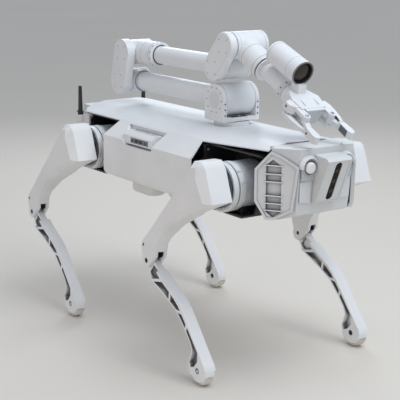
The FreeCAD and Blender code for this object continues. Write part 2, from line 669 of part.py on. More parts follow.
def elbow_link():
    """Link plate beside the elbow, with the cross drum and the socket of the forearm tube."""
    plate = stadium_y(ELBOW, ELBOW_UPPER, 41, -LINK_OUTER_Y, -LINK_INNER_Y)
    drum = rod_y(ELBOW_UPPER[0], ELBOW_UPPER[1], 38, -LINK_INNER_Y, 38)
    drum = round_edges(drum, 4, lambda edge: edge.BoundBox.YMin > 37.9)
    barrel = rod_x(0, ELBOW_UPPER[1], 38, ELBOW_UPPER[0], -215)
    shaft = rod_y(ELBOW[0], ELBOW[1], ARM_SHAFT_RADIUS, -LINK_INNER_Y, -6)
    socket = rod_x(0, ELBOW_UPPER[1], 27, -255, -214)
    return fuse([plate, drum, barrel, shaft]).cut(socket)


def forearm_tube():
    tube = rod_x(0, ELBOW_UPPER[1], 27, -255, WRIST_LOWER[0])
    tube = tube.cut(rod_x(0, ELBOW_UPPER[1], 23, -256, WRIST_LOWER[0] + 1))
    return tube.cut(rod_y(WRIST_LOWER[0], WRIST_LOWER[1], 35, -LINK_INNER_Y, 60))


def forearm_drum():
    drum = rod_y(WRIST_LOWER[0], WRIST_LOWER[1], 35, -LINK_INNER_Y + 1, 50)
    drum = round_edges(drum, 4, lambda edge: edge.BoundBox.YMin > 49.9)
    return drum.cut(rod_y(WRIST_LOWER[0], WRIST_LOWER[1], ARM_SHAFT_RADIUS + RUNNING_GAP, -LINK_INNER_Y, -2))


def wrist_link():
    plate = stadium_y(WRIST_LOWER, WRIST_UPPER, 38, -LINK_OUTER_Y, -LINK_INNER_Y)
    shafts = [rod_y(x, z, ARM_SHAFT_RADIUS, -LINK_INNER_Y, -6) for x, z in (WRIST_LOWER, WRIST_UPPER)]
    return fuse([plate] + shafts)


def on_tool(shape):
    """Place a shape drawn along +X from the upper wrist centre onto the sloping tool axis."""
    return turned(shape, Y_AXIS, TOOL_SLOPE, WRIST_UPPER[0], 0, WRIST_UPPER[1])


def wrist_motor():
    drum = rod_y(0, 0, 38, -LINK_INNER_Y + 1, 65)
    drum = round_edges(drum, 4, lambda edge: edge.BoundBox.YMin > 64.9)
    can = rod_x(0, 0, 36, 0, 117)
    shape = fuse([drum, can])
    shape = shape.cut(rod_y(0, 0, ARM_SHAFT_RADIUS + RUNNING_GAP, -LINK_INNER_Y, -2))
    return on_tool(shape.cut(rod_x(0, 0, 15 + RUNNING_GAP, 88, 118)))


def tool_tube():
    return on_tool(fuse([
        rod_x(0, 0, 15, 92, 119),
        rod_x(0, 0, 34, 119, 125),
        rod_x(0, 0, 22, 125, 236),
    ]))


def palm_section(x, half_width, half_height):
    return [
        (x, -half_width, -half_height), (x, half_width, -half_height),
        (x, half_width, half_height), (x, -half_width, half_height),
    ]


def palm_side():
    """Right side of the palm: two hinge ears and the housing above the finger's crank."""
    y0 = -KNUCKLE_Y - EAR_RADIUS
    y1 = -KNUCKLE_Y + EAR_RADIUS
    solids = [prism_xy([(288, -40), (296, -64), (314, -66), (326, -52), (326, -36)], -1, 22)]
    for z0 in (-20, 10):
        ear = box(314, KNUCKLE_X, y0, y1, z0, z0 + 10)
        solids.append(fuse([ear, rod_z(KNUCKLE_X, -KNUCKLE_Y, EAR_RADIUS, z0, z0 + 10)]))
    return fuse(solids)


def gripper_palm():
    """Faceted palm; its left side is the right side turned half a turn about the tool axis."""
    collar = rod_x(0, 0, 27, 236, 256)
    body = loft(palm_section(250, 25, 24), palm_section(292, 45, 26), palm_section(336, 40, 23))
    jaw = prism_yz([(-30, 22), (30, 22), (17, -22), (-17, -22)], 336, 345)
    saddle = prism_xz([(246, 20), (278, 22), (270, 46), (240, 44)], -13, 13)
    side = palm_side()
    palm = fuse([collar, body, jaw, saddle, side, turned(side, X_AXIS, 180)])
    for y in (-KNUCKLE_Y, KNUCKLE_Y):
        palm = palm.cut(rod_z(KNUCKLE_X, y, 4, -30, 30))
    return on_tool(palm.cut(on_camera_axis(rod_x(0, 0, CAMERA_RADIUS, 0, 123))))


def on_camera_axis(shape):
    """Place a shape drawn along +X onto the camera's axis, above the tool and slightly tilted."""
    return turned(shape, Y_AXIS, -5.5, 134, 0, 62)


def gripper_camera():
    can = rod_x(0, 0, CAMERA_RADIUS, 0, 123)
    can = round_edges(can, 3, lambda edge: edge.BoundBox.XMax < 0.1)
    return on_tool(on_camera_axis(can.cut(rod_x(0, 0, CAMERA_RADIUS - 3, 104, 124))))


def camera_lens():
    return on_tool(on_camera_axis(rod_x(0, 0, CAMERA_RADIUS - 3.2, 104.2, 112)))


def gripper_finger():
    """Right finger: hinge barrel, short arm, paddle tip, and a crank that runs back beside the palm."""
    y = -KNUCKLE_Y
    barrel = rod_z(KNUCKLE_X, y, 9.5, -9.5, 9.5)
    pin = rod_z(KNUCKLE_X, y, 4 - RUNNING_GAP, -20, 20)
    arm = [(358, y - 8), (372, y - 10), (398, -62), (398, -47), (372, y + 6), (362, y + 9)]
    tip = [(386, -59), (398, -64), (428, -67), (438, -63), (441, -52), (430, -46), (396, -47), (386, -48)]
    crank = [
        (390, -59), (372, -65), (346, -69), (318, -70), (300, -66), (300, -55), (318, -57), (346, -56),
        (372, -54), (390, -50),
    ]
    return fuse([barrel, pin, prism_xy(arm, -7, 7), prism_xy(tip, -12, 9), prism_xy(crank, -14, -4)])


# ---- whole robot ----
def all_nodes():
    nodes = {
        "chassis_frame": chassis_frame(),
        "top_cover": top_cover(),
        "side_cover_right": side_cover(),
        "side_cover_left": mirror_y(side_cover()),
        "belly_pan": belly_pan(),
        "battery_pack": battery_pack(),
        "control_unit": control_unit(),
        "hip_roll_motors": hip_roll_motors(),
        "head_shell": head_shell(),
        "cheek_plates": both_sides(cheek_plate()),
        "nose_panel": nose_panel(),
        "nose_window": nose_window(),
        "head_lamps": head_lamps(),
        "rear_cover": rear_cover(),
        "antennas": antennas(),
        "trunk_screws": trunk_screws(),
        "arm_base": arm_base(),
        "arm_turret": arm_turret(),
        "shoulder_motor": shoulder_motor(),
        "upper_arm_tube": upper_arm_tube(),
        "elbow_drum": elbow_drum(),
        "elbow_link": elbow_link(),
        "forearm_tube": forearm_tube(),
        "forearm_drum": forearm_drum(),
        "wrist_link": wrist_link(),
        "wrist_motor": wrist_motor(),
        "tool_tube": tool_tube(),
        "gripper_palm": gripper_palm(),
        "gripper_camera": gripper_camera(),
        "camera_lens": camera_lens(),
        "gripper_finger_right": on_tool(gripper_finger()),
        "gripper_finger_left": on_tool(turned(gripper_finger(), X_AXIS, 180)),
    }
    for corner, hip_x, front, left in (
        ("front_right", HIP_FRONT_X, True, False),
        ("front_left", HIP_FRONT_X, True, True),
        ("rear_right", HIP_REAR_X, False, False),
        ("rear_left", HIP_REAR_X, False, True),
    ):
        nodes.update(leg_nodes(corner, hip_x, front, left))
    return nodes


os.makedirs("parts", exist_ok=True)
for node_name, node_shape in all_nodes().items():
    moved(node_shape, ORIGIN_X).exportStep("parts/" + node_name + ".step")
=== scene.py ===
import json
import math

import bmesh
import bpy
from mathutils import Matrix, Vector


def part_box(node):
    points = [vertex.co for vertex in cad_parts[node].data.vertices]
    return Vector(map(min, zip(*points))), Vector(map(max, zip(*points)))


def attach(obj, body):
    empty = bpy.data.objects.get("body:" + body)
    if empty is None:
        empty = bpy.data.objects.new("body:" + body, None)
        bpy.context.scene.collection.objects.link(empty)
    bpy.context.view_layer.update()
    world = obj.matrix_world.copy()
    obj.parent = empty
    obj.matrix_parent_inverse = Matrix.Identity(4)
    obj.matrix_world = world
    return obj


# Looks of a four-legged robot with a folded arm. Metres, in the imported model's own frame:
# +X towards the nose, +Y to the robot's left, +Z up.
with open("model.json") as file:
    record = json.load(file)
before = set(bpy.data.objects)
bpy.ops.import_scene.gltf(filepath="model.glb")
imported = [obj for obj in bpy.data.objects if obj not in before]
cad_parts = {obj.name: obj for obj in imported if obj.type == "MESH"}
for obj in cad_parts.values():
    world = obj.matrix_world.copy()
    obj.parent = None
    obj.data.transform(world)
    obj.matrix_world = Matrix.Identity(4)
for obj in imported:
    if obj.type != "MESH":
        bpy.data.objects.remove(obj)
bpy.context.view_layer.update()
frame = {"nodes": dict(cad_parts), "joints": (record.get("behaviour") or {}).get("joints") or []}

NODES = frame["nodes"]
JOINTS = {joint["name"]: joint for joint in frame["joints"]}
CORNERS = ("front_right", "front_left", "rear_right", "rear_left")
MM = 0.001


def middle(node):
    low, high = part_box(node)
    return (low + high) / 2


def joint_point(name):
    return Vector(JOINTS[name]["pos_m"])


TRUNK_X = middle("belly_pan").x
LEG_OUTER_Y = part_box("front_left_thigh_cover")[1].y
LEG_WIDTH = 37 * MM
LEG_INNER_Y = LEG_OUTER_Y - LEG_WIDTH
LEG_MIDDLE_Y = LEG_OUTER_Y - LEG_WIDTH / 2
HIP_RING_Y = LEG_OUTER_Y - 97 * MM
HIP_CAN_Y = LEG_OUTER_Y - 134 * MM
FOOT_RADIUS = 40 * MM
X_AXIS = Vector((1, 0, 0))
Y_AXIS = Vector((0, 1, 0))
Z_AXIS = Vector((0, 0, 1))


# ---- materials ----
class Shader:
    """A node material: adds nodes and joins their sockets."""

    def __init__(self, name):
        self.material = bpy.data.materials.new(name)
        self.material.use_nodes = True
        self.tree = self.material.node_tree
        self.surface = self.tree.nodes["Principled BSDF"]
        self.place = self.tree.nodes.new("ShaderNodeTexCoord").outputs["Object"]

    def add(self, kind, **settings):
        node = self.tree.nodes.new(kind)
        for key, value in settings.items():
            setattr(node, key, value)
        return node

    def join(self, source, target):
        self.tree.links.new(source, target)

    def noise(self, scale, detail=3.0, place=None):
        node = self.add("ShaderNodeTexNoise")
        node.inputs["Scale"].default_value = scale
        node.inputs["Detail"].default_value = detail
        self.join(place or self.place, node.inputs["Vector"])
        return node.outputs["Fac"]

    def ramp(self, value, low, high, to_low=0.0, to_high=1.0):
        """Map low to high onto to_low to to_high."""
        node = self.add("ShaderNodeMapRange")
        node.inputs["From Min"].default_value = low
        node.inputs["From Max"].default_value = high
        node.inputs["To Min"].default_value = to_low
        node.inputs["To Max"].default_value = to_high
        self.join(value, node.inputs["Value"])
        return node.outputs["Result"]

    def blend(self, factor, first, second):
        """Mix two colours by a socket; each colour is a socket or a tuple."""
        node = self.add("ShaderNodeMix", data_type="RGBA")
        sockets = [s for s in node.inputs if s.type == "RGBA"]
        for socket, colour in zip(sockets, (first, second)):
            if isinstance(colour, tuple):
                socket.default_value = (*colour, 1)
            else:
                self.join(colour, socket)
        self.join(factor, node.inputs["Factor"])
        return [s for s in node.outputs if s.type == "RGBA"][0]

    def recolour(self, factor, second):
        """Blend the present base colour into a second one."""
        target = self.surface.inputs["Base Color"]
        present = target.links[0].from_socket
        self.join(self.blend(factor, present, second), target)

    def compute(self, operation, first, second=0.0):
        node = self.add("ShaderNodeMath", operation=operation)
        for socket, value in zip(node.inputs, (first, second)):
            if isinstance(value, (int, float)):
                socket.default_value = value
            else:
                self.join(value, socket)
        return node.outputs[0]

    def axis_value(self, name):
        node = self.add("ShaderNodeSeparateXYZ")
        self.join(self.place, node.inputs["Vector"])
        return node.outputs[name]

    def bump(self, height, strength, distance):
        node = self.add("ShaderNodeBump")
        node.inputs["Strength"].default_value = strength
        node.inputs["Distance"].default_value = distance
        self.join(height, node.inputs["Height"])
        self.join(node.outputs["Normal"], self.surface.inputs["Normal"])


def scaled(colour, factor):
    return tuple(min(1.0, channel * factor) for channel in colour)


def coated(name, colour, roughness, peel=0.25, mottle=0.03, coat=0.0, corner_shade=0.22):
    """Painted or moulded surface: soft mottling, dull patches, fine orange peel, painted shade in corners."""
    shader = Shader(name)
    patches = shader.ramp(shader.noise(7.0, 4.0), 0.35, 0.65)
    paint = shader.blend(patches, scaled(colour, 1 - mottle), scaled(colour, 1 + mottle))
    # painted shade: ambient occlusion darkens the colour to about a third of itself in corners and creases
    corner = shader.add("ShaderNodeAmbientOcclusion", samples=6)
    corner.inputs["Distance"].default_value = 0.008
    shade = shader.ramp(corner.outputs["AO"], 0.2, 0.8, corner_shade, 0.0)
    paint = shader.blend(shade, paint, scaled(colour, 0.35))
    shader.join(paint, shader.surface.inputs["Base Color"])
    smudge = shader.ramp(shader.noise(23.0, 5.0), 0.3, 0.7, roughness - 0.05, roughness + 0.06)
    shader.join(smudge, shader.surface.inputs["Roughness"])
    shader.surface.inputs["Coat Weight"].default_value = coat
    shader.surface.inputs["Coat Roughness"].default_value = 0.22
    shader.bump(shader.noise(900.0, 2.0), peel, 0.0001)
    return shader


def brushed(name, colour, roughness, direction):
    """Machined metal: fine lines around or along one axis."""
    shader = Shader(name)
    stretch = shader.add("ShaderNodeMapping")
    stretch.inputs["Scale"].default_value = direction
    shader.join(shader.place, stretch.inputs["Vector"])
    lines = shader.noise(60.0, 4.0, stretch.outputs["Vector"])
    tint = shader.blend(shader.ramp(lines, 0.3, 0.7), scaled(colour, 0.82), scaled(colour, 1.1))
    shader.join(tint, shader.surface.inputs["Base Color"])
    sheen = shader.ramp(lines, 0.3, 0.7, roughness - 0.08, roughness + 0.1)
    shader.join(sheen, shader.surface.inputs["Roughness"])
    shader.surface.inputs["Metallic"].default_value = 0.9
    shader.bump(lines, 0.15, 0.0001)
    return shader


def hip_motor_paint():
    """White outer ring, then a greyer can: the change follows the distance from the middle plane."""
    shader = coated("hip_motor_paint", (0.78, 0.79, 0.80), 0.34)
    side = shader.compute("ABSOLUTE", shader.axis_value("Y"))
    on_can = shader.compute("LESS_THAN", side, HIP_CAN_Y)
    can = shader.blend(shader.ramp(shader.noise(40.0), 0.3, 0.7), (0.66, 0.67, 0.69), (0.74, 0.75, 0.77))
    shader.recolour(on_can, can)
    shader.join(shader.compute("MULTIPLY", on_can, 0.15), shader.surface.inputs["Metallic"])
    return shader


def recess_shaded(name, colour, roughness, inside, reach, low, high):
    """Painted surface whose recesses fade to a darker colour by ambient occlusion: painted shade."""
    shader = coated(name, colour, roughness, coat=0.05, corner_shade=0.0)
    # painted shade: the recesses take the darker inside colour where ambient occlusion falls
    depth = shader.add("ShaderNodeAmbientOcclusion", samples=8)
    depth.inputs["Distance"].default_value = reach
    shader.recolour(shader.ramp(depth.outputs["AO"], low, high, 1.0, 0.0), inside)
    return shader


def glass_like(name, colour, roughness, gloss=1.0):
    """Dark glass with a faint haze."""
    shader = Shader(name)
    haze = shader.noise(30.0)
    tint = shader.blend(haze, scaled(colour, 0.7), scaled(colour, 1.5))
    shader.join(tint, shader.surface.inputs["Base Color"])
    sheen = shader.ramp(haze, 0.3, 0.7, roughness, roughness + 0.06)
    shader.join(sheen, shader.surface.inputs["Roughness"])
    shader.surface.inputs["Specular IOR Level"].default_value = 0.3 * gloss
    shader.surface.inputs["Coat Weight"].default_value = 0.2 * gloss
    shader.surface.inputs["Coat Roughness"].default_value = 0.06
    return shader


def floor_paint():
    shader = Shader("studio_floor")
    tone = shader.blend(shader.noise(0.7, 2.0), (0.74, 0.69, 0.62), (0.78, 0.73, 0.66))
    shader.join(tone, shader.surface.inputs["Base Color"])
    shader.surface.inputs["Roughness"].default_value = 0.8
    return shader


PAINT = {
    "white_cover": coated("white_cover_paint", (0.80, 0.81, 0.82), 0.46, coat=0.04),
    "white_leg": coated("white_leg_paint", (0.81, 0.815, 0.82), 0.42, coat=0.05),
    "grey_cover": coated("grey_cover_paint", (0.72, 0.72, 0.715), 0.42),
    "pocket_grey": coated("pocket_grey_paint", (0.17, 0.175, 0.185), 0.45, corner_shade=0.5),
    # grey of the lamp niches: painted shade
    "lamp_niche_shade": coated("niche_grey_paint", (0.50, 0.52, 0.55), 0.45),
    "line_grey": coated("line_grey_paint", (0.36, 0.37, 0.38), 0.45),
    "panel_grey": coated("panel_grey_paint", (0.60, 0.62, 0.64), 0.36),
    "black_frame": coated("black_frame_paint", (0.016, 0.017, 0.019), 0.30, coat=0.3),
    "black_plastic": coated("black_plastic_paint", (0.022, 0.022, 0.024), 0.42, peel=0.4),
    "battery_case": coated("battery_case_paint", (0.035, 0.035, 0.038), 0.55),
    "motor_metal": brushed("motor_metal_skin", (0.50, 0.51, 0.53), 0.34, (1, 12, 1)),
    "bolt_metal": brushed("bolt_metal_skin", (0.55, 0.56, 0.58), 0.28, (1, 1, 6)),
    "dark_bolt": brushed("dark_bolt_skin", (0.06, 0.06, 0.065), 0.36, (1, 1, 6)),
    "arm_metal": coated("arm_metal_paint", (0.78, 0.795, 0.81), 0.40, coat=0.06),
    "arm_cover": coated("arm_cover_paint", (0.79, 0.80, 0.815), 0.40, coat=0.06),
    "arm_face": coated("arm_face_paint", (0.70, 0.71, 0.72), 0.34),
    "sole_rubber": coated("sole_rubber_skin", (0.70, 0.66, 0.60), 0.72, peel=0.9, mottle=0.06),
    "lamp_white": coated("lamp_white_lens", (0.90, 0.90, 0.89), 0.16, peel=0.05, coat=0.6),
    "window": glass_like("window_glass", (0.006, 0.005, 0.004), 0.3, 0.35),
    "lens": glass_like("lens_glass", (0.030, 0.014, 0.006), 0.05),
    "hip_motor": hip_motor_paint(),
    # calf and cheek: recesses carry painted shade; the cheek plate's grey is partly painted shade too
    "calf": recess_shaded("calf_paint", (0.85, 0.855, 0.86), 0.42, (0.22, 0.225, 0.235), 0.022, 0.50, 0.72),
    "cheek": recess_shaded("cheek_paint", (0.70, 0.71, 0.715), 0.44, (0.16, 0.17, 0.19), 0.020, 0.42, 0.92),
    "head": coated("head_paint", (0.69, 0.70, 0.70), 0.46, coat=0.04),
}


# ---- mesh helpers ----
def side_axes(axis):
    """Two directions square to an axis, and the axis."""
    w = Vector(axis).normalized()
    start = Z_AXIS if abs(w.z) < 0.9 else X_AXIS
    u = w.cross(start).normalized()
    return u, w.cross(u), w


def spokes(count, offset=0.0, across=X_AXIS, up=Z_AXIS):
    """Unit vectors spread evenly round a circle; the offset is a share of one step."""
    for step in range(count):
        turn = math.tau * (step + offset) / count
        yield across * math.cos(turn) + up * math.sin(turn)


def lathe(bm, profile, origin, axis, steps=40):
    """Turn a profile of (radius, height) points about an axis."""
    u, v, w = side_axes(axis)
    rows = []
    for radius, height in profile:
        if radius < 1e-7:
            rows.append([bm.verts.new(Vector(origin) + w * height)])
            continue
        centre = Vector(origin) + w * height
        rows.append([bm.verts.new(centre + spoke * radius) for spoke in spokes(steps, 0.0, u, v)])
    for first, second in zip(rows, rows[1:]):
        for i in range(steps):
            j = (i + 1) % steps
            if len(first) == 1 and len(second) == 1:
                break
            if len(first) == 1:
                bm.faces.new((first[0], second[i], second[j]))
            elif len(second) == 1:
                bm.faces.new((first[i], second[0], first[j]))
            else:
                bm.faces.new((first[i], second[i], second[j], first[j]))


def ring_profile(inner, outer, low, high, round_by=0.0):
    """Closed profile of a ring with softened outer corners."""
    r = round_by
    return [
        (inner, low), (outer - r, low), (outer - r * 0.3, low + r * 0.3), (outer, low + r),
        (outer, high - r), (outer - r * 0.3, high - r * 0.3), (outer - r, high), (inner, high), (inner, low),
    ]


def slab(bm, corners, push):
    """A flat outline of 3-D points, pushed along a vector."""
    near = [bm.verts.new(Vector(c)) for c in corners]
    far = [bm.verts.new(Vector(c) + Vector(push)) for c in corners]
    bm.faces.new(near)
    bm.faces.new(far[::-1])
    for i in range(len(near)):
        j = (i + 1) % len(near)
        bm.faces.new((near[i], far[i], far[j], near[j]))


def brick(bm, centre, size, axes=(X_AXIS, Y_AXIS, Z_AXIS)):
    """A block about its centre, with its sides along three axes."""
    u, v, w = (Vector(a) * s / 2 for a, s in zip(axes, size))
    base = Vector(centre) - w
    slab(bm, [base - u - v, base + u - v, base + u + v, base - u + v], w * 2)


def piece(name, build, paint, body, bevel=0.0):
    """Make one object with build(bm), give it its paint, and let it ride on a body."""
    mesh = bpy.data.meshes.new(name)
    bm = bmesh.new()
    build(bm)
    bmesh.ops.remove_doubles(bm, verts=bm.verts, dist=1e-6)
    bmesh.ops.recalc_face_normals(bm, faces=bm.faces)
    bm.to_mesh(mesh)
    bm.free()
    for polygon in mesh.polygons:
        polygon.use_smooth = True
    mesh.set_sharp_from_angle(angle=math.radians(32))
    mesh.materials.append(PAINT[paint].material)
    obj = bpy.data.objects.new(name, mesh)
    bpy.context.scene.collection.objects.link(obj)
    if bevel:
        round_off(obj, bevel, 2)
    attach(obj, body)


def round_off(obj, width, segments, angle=30):
    """Bevel the edges sharper than an angle in degrees."""
    edge = obj.modifiers.new("edges", "BEVEL")
    edge.width = width
    edge.segments = segments
    edge.limit_method = "ANGLE"
    edge.angle_limit = math.radians(angle)
    obj.modifiers.new("shading", "WEIGHTED_NORMAL").keep_sharp = False


def finish_node(name, paint, bevel=0.0, segments=3, angle=30, flatten=0.6):
    """Give a CAD node its paint, and round its edges with modifiers.

    Faces within `flatten` degrees are joined first; then edges sharper than `angle` are bevelled.
    """
    obj = NODES[name]
    obj.data.materials.clear()
    obj.data.materials.append(PAINT[paint].material)
    for polygon in obj.data.polygons:
        polygon.use_smooth = True
    if bevel:
        obj.modifiers.new("weld", "WELD").merge_threshold = 1e-5
        flat = obj.modifiers.new("flat", "DECIMATE")
        flat.decimate_type = "DISSOLVE"
        flat.angle_limit = math.radians(flatten)
        round_off(obj, bevel, segments, angle)


def screw_heads(bm, spots, radius):
    """Button heads with a socket; a spot is (centre, outward axis)."""
    r = radius
    profile = [
        (0, -0.1 * r), (0.45 * r, -0.1 * r), (0.5 * r, 0.42 * r), (0.78 * r, 0.36 * r),
        (0.95 * r, 0.18 * r), (r, 0), (r, -0.3 * r), (0, -0.3 * r),
    ]
    for centre, axis in spots:
        lathe(bm, profile, centre, axis, 18)


# ---- CAD nodes keep their shape and get rounded edges and paint ----
for node in ("top_cover", "side_cover_right", "side_cover_left"):
    finish_node(node, "white_cover", 2.5 * MM)
finish_node("head_shell", "head", 4 * MM, 4)
finish_node("cheek_plates", "cheek", 1 * MM)
finish_node("nose_panel", "head", 0.6 * MM)
finish_node("nose_window", "window", 0.5 * MM)
finish_node("head_lamps", "lamp_white")
finish_node("belly_pan", "grey_cover", 2 * MM)
finish_node("rear_cover", "grey_cover", 2.5 * MM)
finish_node("antennas", "black_plastic")
finish_node("chassis_frame", "black_frame", 1 * MM)
finish_node("battery_pack", "battery_case", 2 * MM)
finish_node("control_unit", "battery_case", 0.5 * MM)
finish_node("hip_roll_motors", "motor_metal", 1 * MM)
finish_node("trunk_screws", "dark_bolt")
finish_node("arm_base", "arm_metal", 0.8 * MM)
finish_node("arm_turret", "arm_metal", 1.5 * MM)
for node in ("shoulder_motor", "upper_arm_tube", "elbow_drum", "forearm_tube", "forearm_drum", "wrist_motor"):
    finish_node(node, "arm_metal", 0.8 * MM)
for node in ("elbow_link", "wrist_link"):
    finish_node(node, "arm_metal", 5 * MM, 4, angle=50)
finish_node("tool_tube", "arm_cover", 0.8 * MM)
finish_node("gripper_palm", "arm_cover", 1.5 * MM)
finish_node("gripper_camera", "arm_cover", 0.8 * MM)
finish_node("camera_lens", "lens")
for side in ("right", "left"):
    finish_node("gripper_finger_" + side, "arm_cover", 1.5 * MM)
for corner in CORNERS:
    finish_node(corner + "_hip_bracket", "black_frame", 1.5 * MM)
    finish_node(corner + "_hip_motor", "hip_motor", 1.5 * MM)
    finish_node(corner + "_thigh_cover", "white_leg", 3 * MM, 4, flatten=5)
    finish_node(corner + "_knee_motor", "dark_bolt", 1 * MM)
    finish_node(corner + "_knee_pin", "dark_bolt")
    finish_node(corner + "_calf", "calf", 1.2 * MM)
    finish_node(corner + "_foot_pad", "sole_rubber", 2 * MM)


# ---- legs ----
class Link:
    """Local directions of one leg link: along it, ahead of it, and outwards from the robot."""

    def __init__(self, start, end, outward):
        self.start = Vector((start.x, 0, start.z))
        run = Vector((end.x, 0, end.z)) - self.start
        self.length = run.length
        self.along = run.normalized()
        self.ahead = Vector((-self.along.z, 0, self.along.x))
        self.outward = outward

    def at(self, along, ahead, y):
        """along and ahead in millimetres from the link's start; y is the distance from the middle plane."""
        point = self.start + self.along * along * MM + self.ahead * ahead * MM
        return Vector((point.x, self.outward * y, point.z))


# Pockets in a calf's side, each as (along, ahead) corners in millimetres from the knee.
CALF_POCKETS = (
    ((27, -17), (38, -20), (52, -14), (72, 20), (40, 17), (24, 12)),
    ((61, -12), (90, 1), (135, 17), (122, 34), (84, 23)),
    ((143, 20), (174, 30), (187, 43), (172, 44), (146, 40), (131, 36)),
    ((184, 31), (232, 31), (226, 41), (198, 43)),
    (
        (241, 31), (272, 28), (291, 22), (301, 8), (309, -15),
        (322, -20), (329, -6), (327, 18), (310, 35), (236, 41),
    ),
)
# the pocket whose floor is painted black as shade
DARK_POCKET = 2
POCKET_FLOOR_Y = LEG_OUTER_Y - 15.5 * MM


def shrunk(outline, share):
    """An outline drawn in towards the mean of its corners."""
    u = sum(p[0] for p in outline) / len(outline)
    v = sum(p[1] for p in outline) / len(outline)
    return [(u + (a - u) * share, v + (b - v) * share) for a, b in outline]


def calf_details(corner, calf, foot):
    body = corner + "_calf"
    push = Vector((0, calf.outward * 1.2 * MM, 0))
    side_axis = (0, calf.outward, 0)
    hole = Vector((foot.x, calf.outward * (LEG_OUTER_Y - 3 * MM), foot.z))

    def liners(dark):
        """Floor plates of the one black pocket, or of all the others; their dark colours are painted shade in
        the pockets.
        """
        def build(bm):
            for index, outline in enumerate(CALF_POCKETS):
                if (index == DARK_POCKET) == dark:
                    edge = shrunk(outline, 0.93)
                    slab(bm, [calf.at(a, b, POCKET_FLOOR_Y) for a, b in edge], push)
        return build

    def ribs(bm):
        """Low stiffening ribs across the long pocket beside the foot."""
        for a, b in ((262, 30), (284, 27)):
            spot = calf.at(a, b, POCKET_FLOOR_Y + 3 * MM)
            brick(bm, spot, (2 * MM, 6 * MM, 9 * MM), (calf.along, Y_AXIS, calf.ahead))

    def foot_pin(bm):
        """Pale pin that sits low in the dark hole of the foot."""
        outline = [(0, 0), (4.4, 0), (5.0, -0.6), (5.2, -1.6), (5.2, -26), (0, -26)]
        profile = [(radius * MM, height * MM) for radius, height in outline]
        lathe(bm, profile, hole - Z_AXIS * 2 * MM, side_axis, 28)

    def foot_hole_shadow(bm):
        """Black lining and floor of the hole: painted shadow, seen as a dark crescent above the low pin."""
        lathe(bm, ring_profile(7.3 * MM, 8.2 * MM, -28 * MM, 0), hole, side_axis, 32)
        floor_plate = [(0, -27 * MM), (7.6 * MM, -27 * MM), (7.6 * MM, -26 * MM), (0, -26 * MM)]
        lathe(bm, floor_plate, hole, side_axis, 32)

    # dark grey and black floor plates: painted shade in the calf's pockets
    piece(corner + "_calf_pocket_shade_floors", liners(False), "pocket_grey", body, 0.4 * MM)
    piece(corner + "_calf_pocket_black_shade", liners(True), "black_plastic", body, 0.4 * MM)
    piece(corner + "_calf_ribs", ribs, "pocket_grey", body, 0.5 * MM)
    piece(corner + "_foot_pin", foot_pin, "arm_face", body)
    piece(corner + "_foot_hole_shadow", foot_hole_shadow, "black_plastic", body)


def foot_tread(corner, calf, foot):
    """Tread of the rubber sole, as thin darker bars that sit in its skin."""
    centre = Vector((foot.x, calf.outward * LEG_MIDDLE_Y, foot.z))

    def build(bm):
        for step in range(9):
            turn = math.radians(-128 + step * 12)
            spoke = Vector((math.cos(turn), 0, math.sin(turn)))
            spot = centre + spoke * (FOOT_RADIUS - 0.4 * MM)
            brick(bm, spot, (1.1 * MM, 20 * MM, 0.9 * MM), (spoke.cross(Y_AXIS), Y_AXIS, spoke))

    piece(corner + "_foot_tread", build, "line_grey", corner + "_calf")


def thigh_details(corner, thigh):
    body = corner + "_thigh"

    def inner_cap(bm):
        """Round cap that closes the hub beside the hip motor."""
        hub = thigh.at(0, 0, LEG_OUTER_Y - 80 * MM)
        lathe(bm, ring_profile(33 * MM, 51 * MM, 0, 4 * MM, 1.2 * MM), hub, (0, -thigh.outward, 0), 56)

    def fork_washers(bm):
        for y, way in ((LEG_INNER_Y + 9.2 * MM, 1), (LEG_OUTER_Y - 9.2 * MM, -1)):
            spot = thigh.at(thigh.length / MM, 0, y)
            lathe(bm, ring_profile(6.2 * MM, 11 * MM, 0, 0.35 * MM), spot, (0, thigh.outward * way, 0), 28)

    def fork_shade_sheets(bm):
        """Black sheets in the fork, on its two cheeks and the wall between them: painted shade of the gap at
        the knee.
        """
        half = 10 * MM
        outline = [(253, -40), (284, -44), (300, -24), (300, 8), (270, 19), (253, 8)]
        for way in (1, -1):
            push = Vector((0, thigh.outward * way * 0.35 * MM, 0))
            slab(bm, [thigh.at(a, b, LEG_MIDDLE_Y - way * half) for a, b in outline], push)
        wall = thigh.at(252, -20, LEG_MIDDLE_Y)
        brick(bm, wall, (1.2 * MM, 2 * half, 50 * MM), (thigh.along, Y_AXIS, thigh.ahead))
        block = thigh.at(256, -8, LEG_MIDDLE_Y)
        brick(bm, block, (8 * MM, 2 * half, 20 * MM), (thigh.along, Y_AXIS, thigh.ahead))

    piece(corner + "_hub_cap", inner_cap, "black_plastic", body, 0.3 * MM)
    piece(corner + "_fork_washers", fork_washers, "bolt_metal", body)
    piece(corner + "_fork_shade_sheets", fork_shade_sheets, "black_plastic", body)


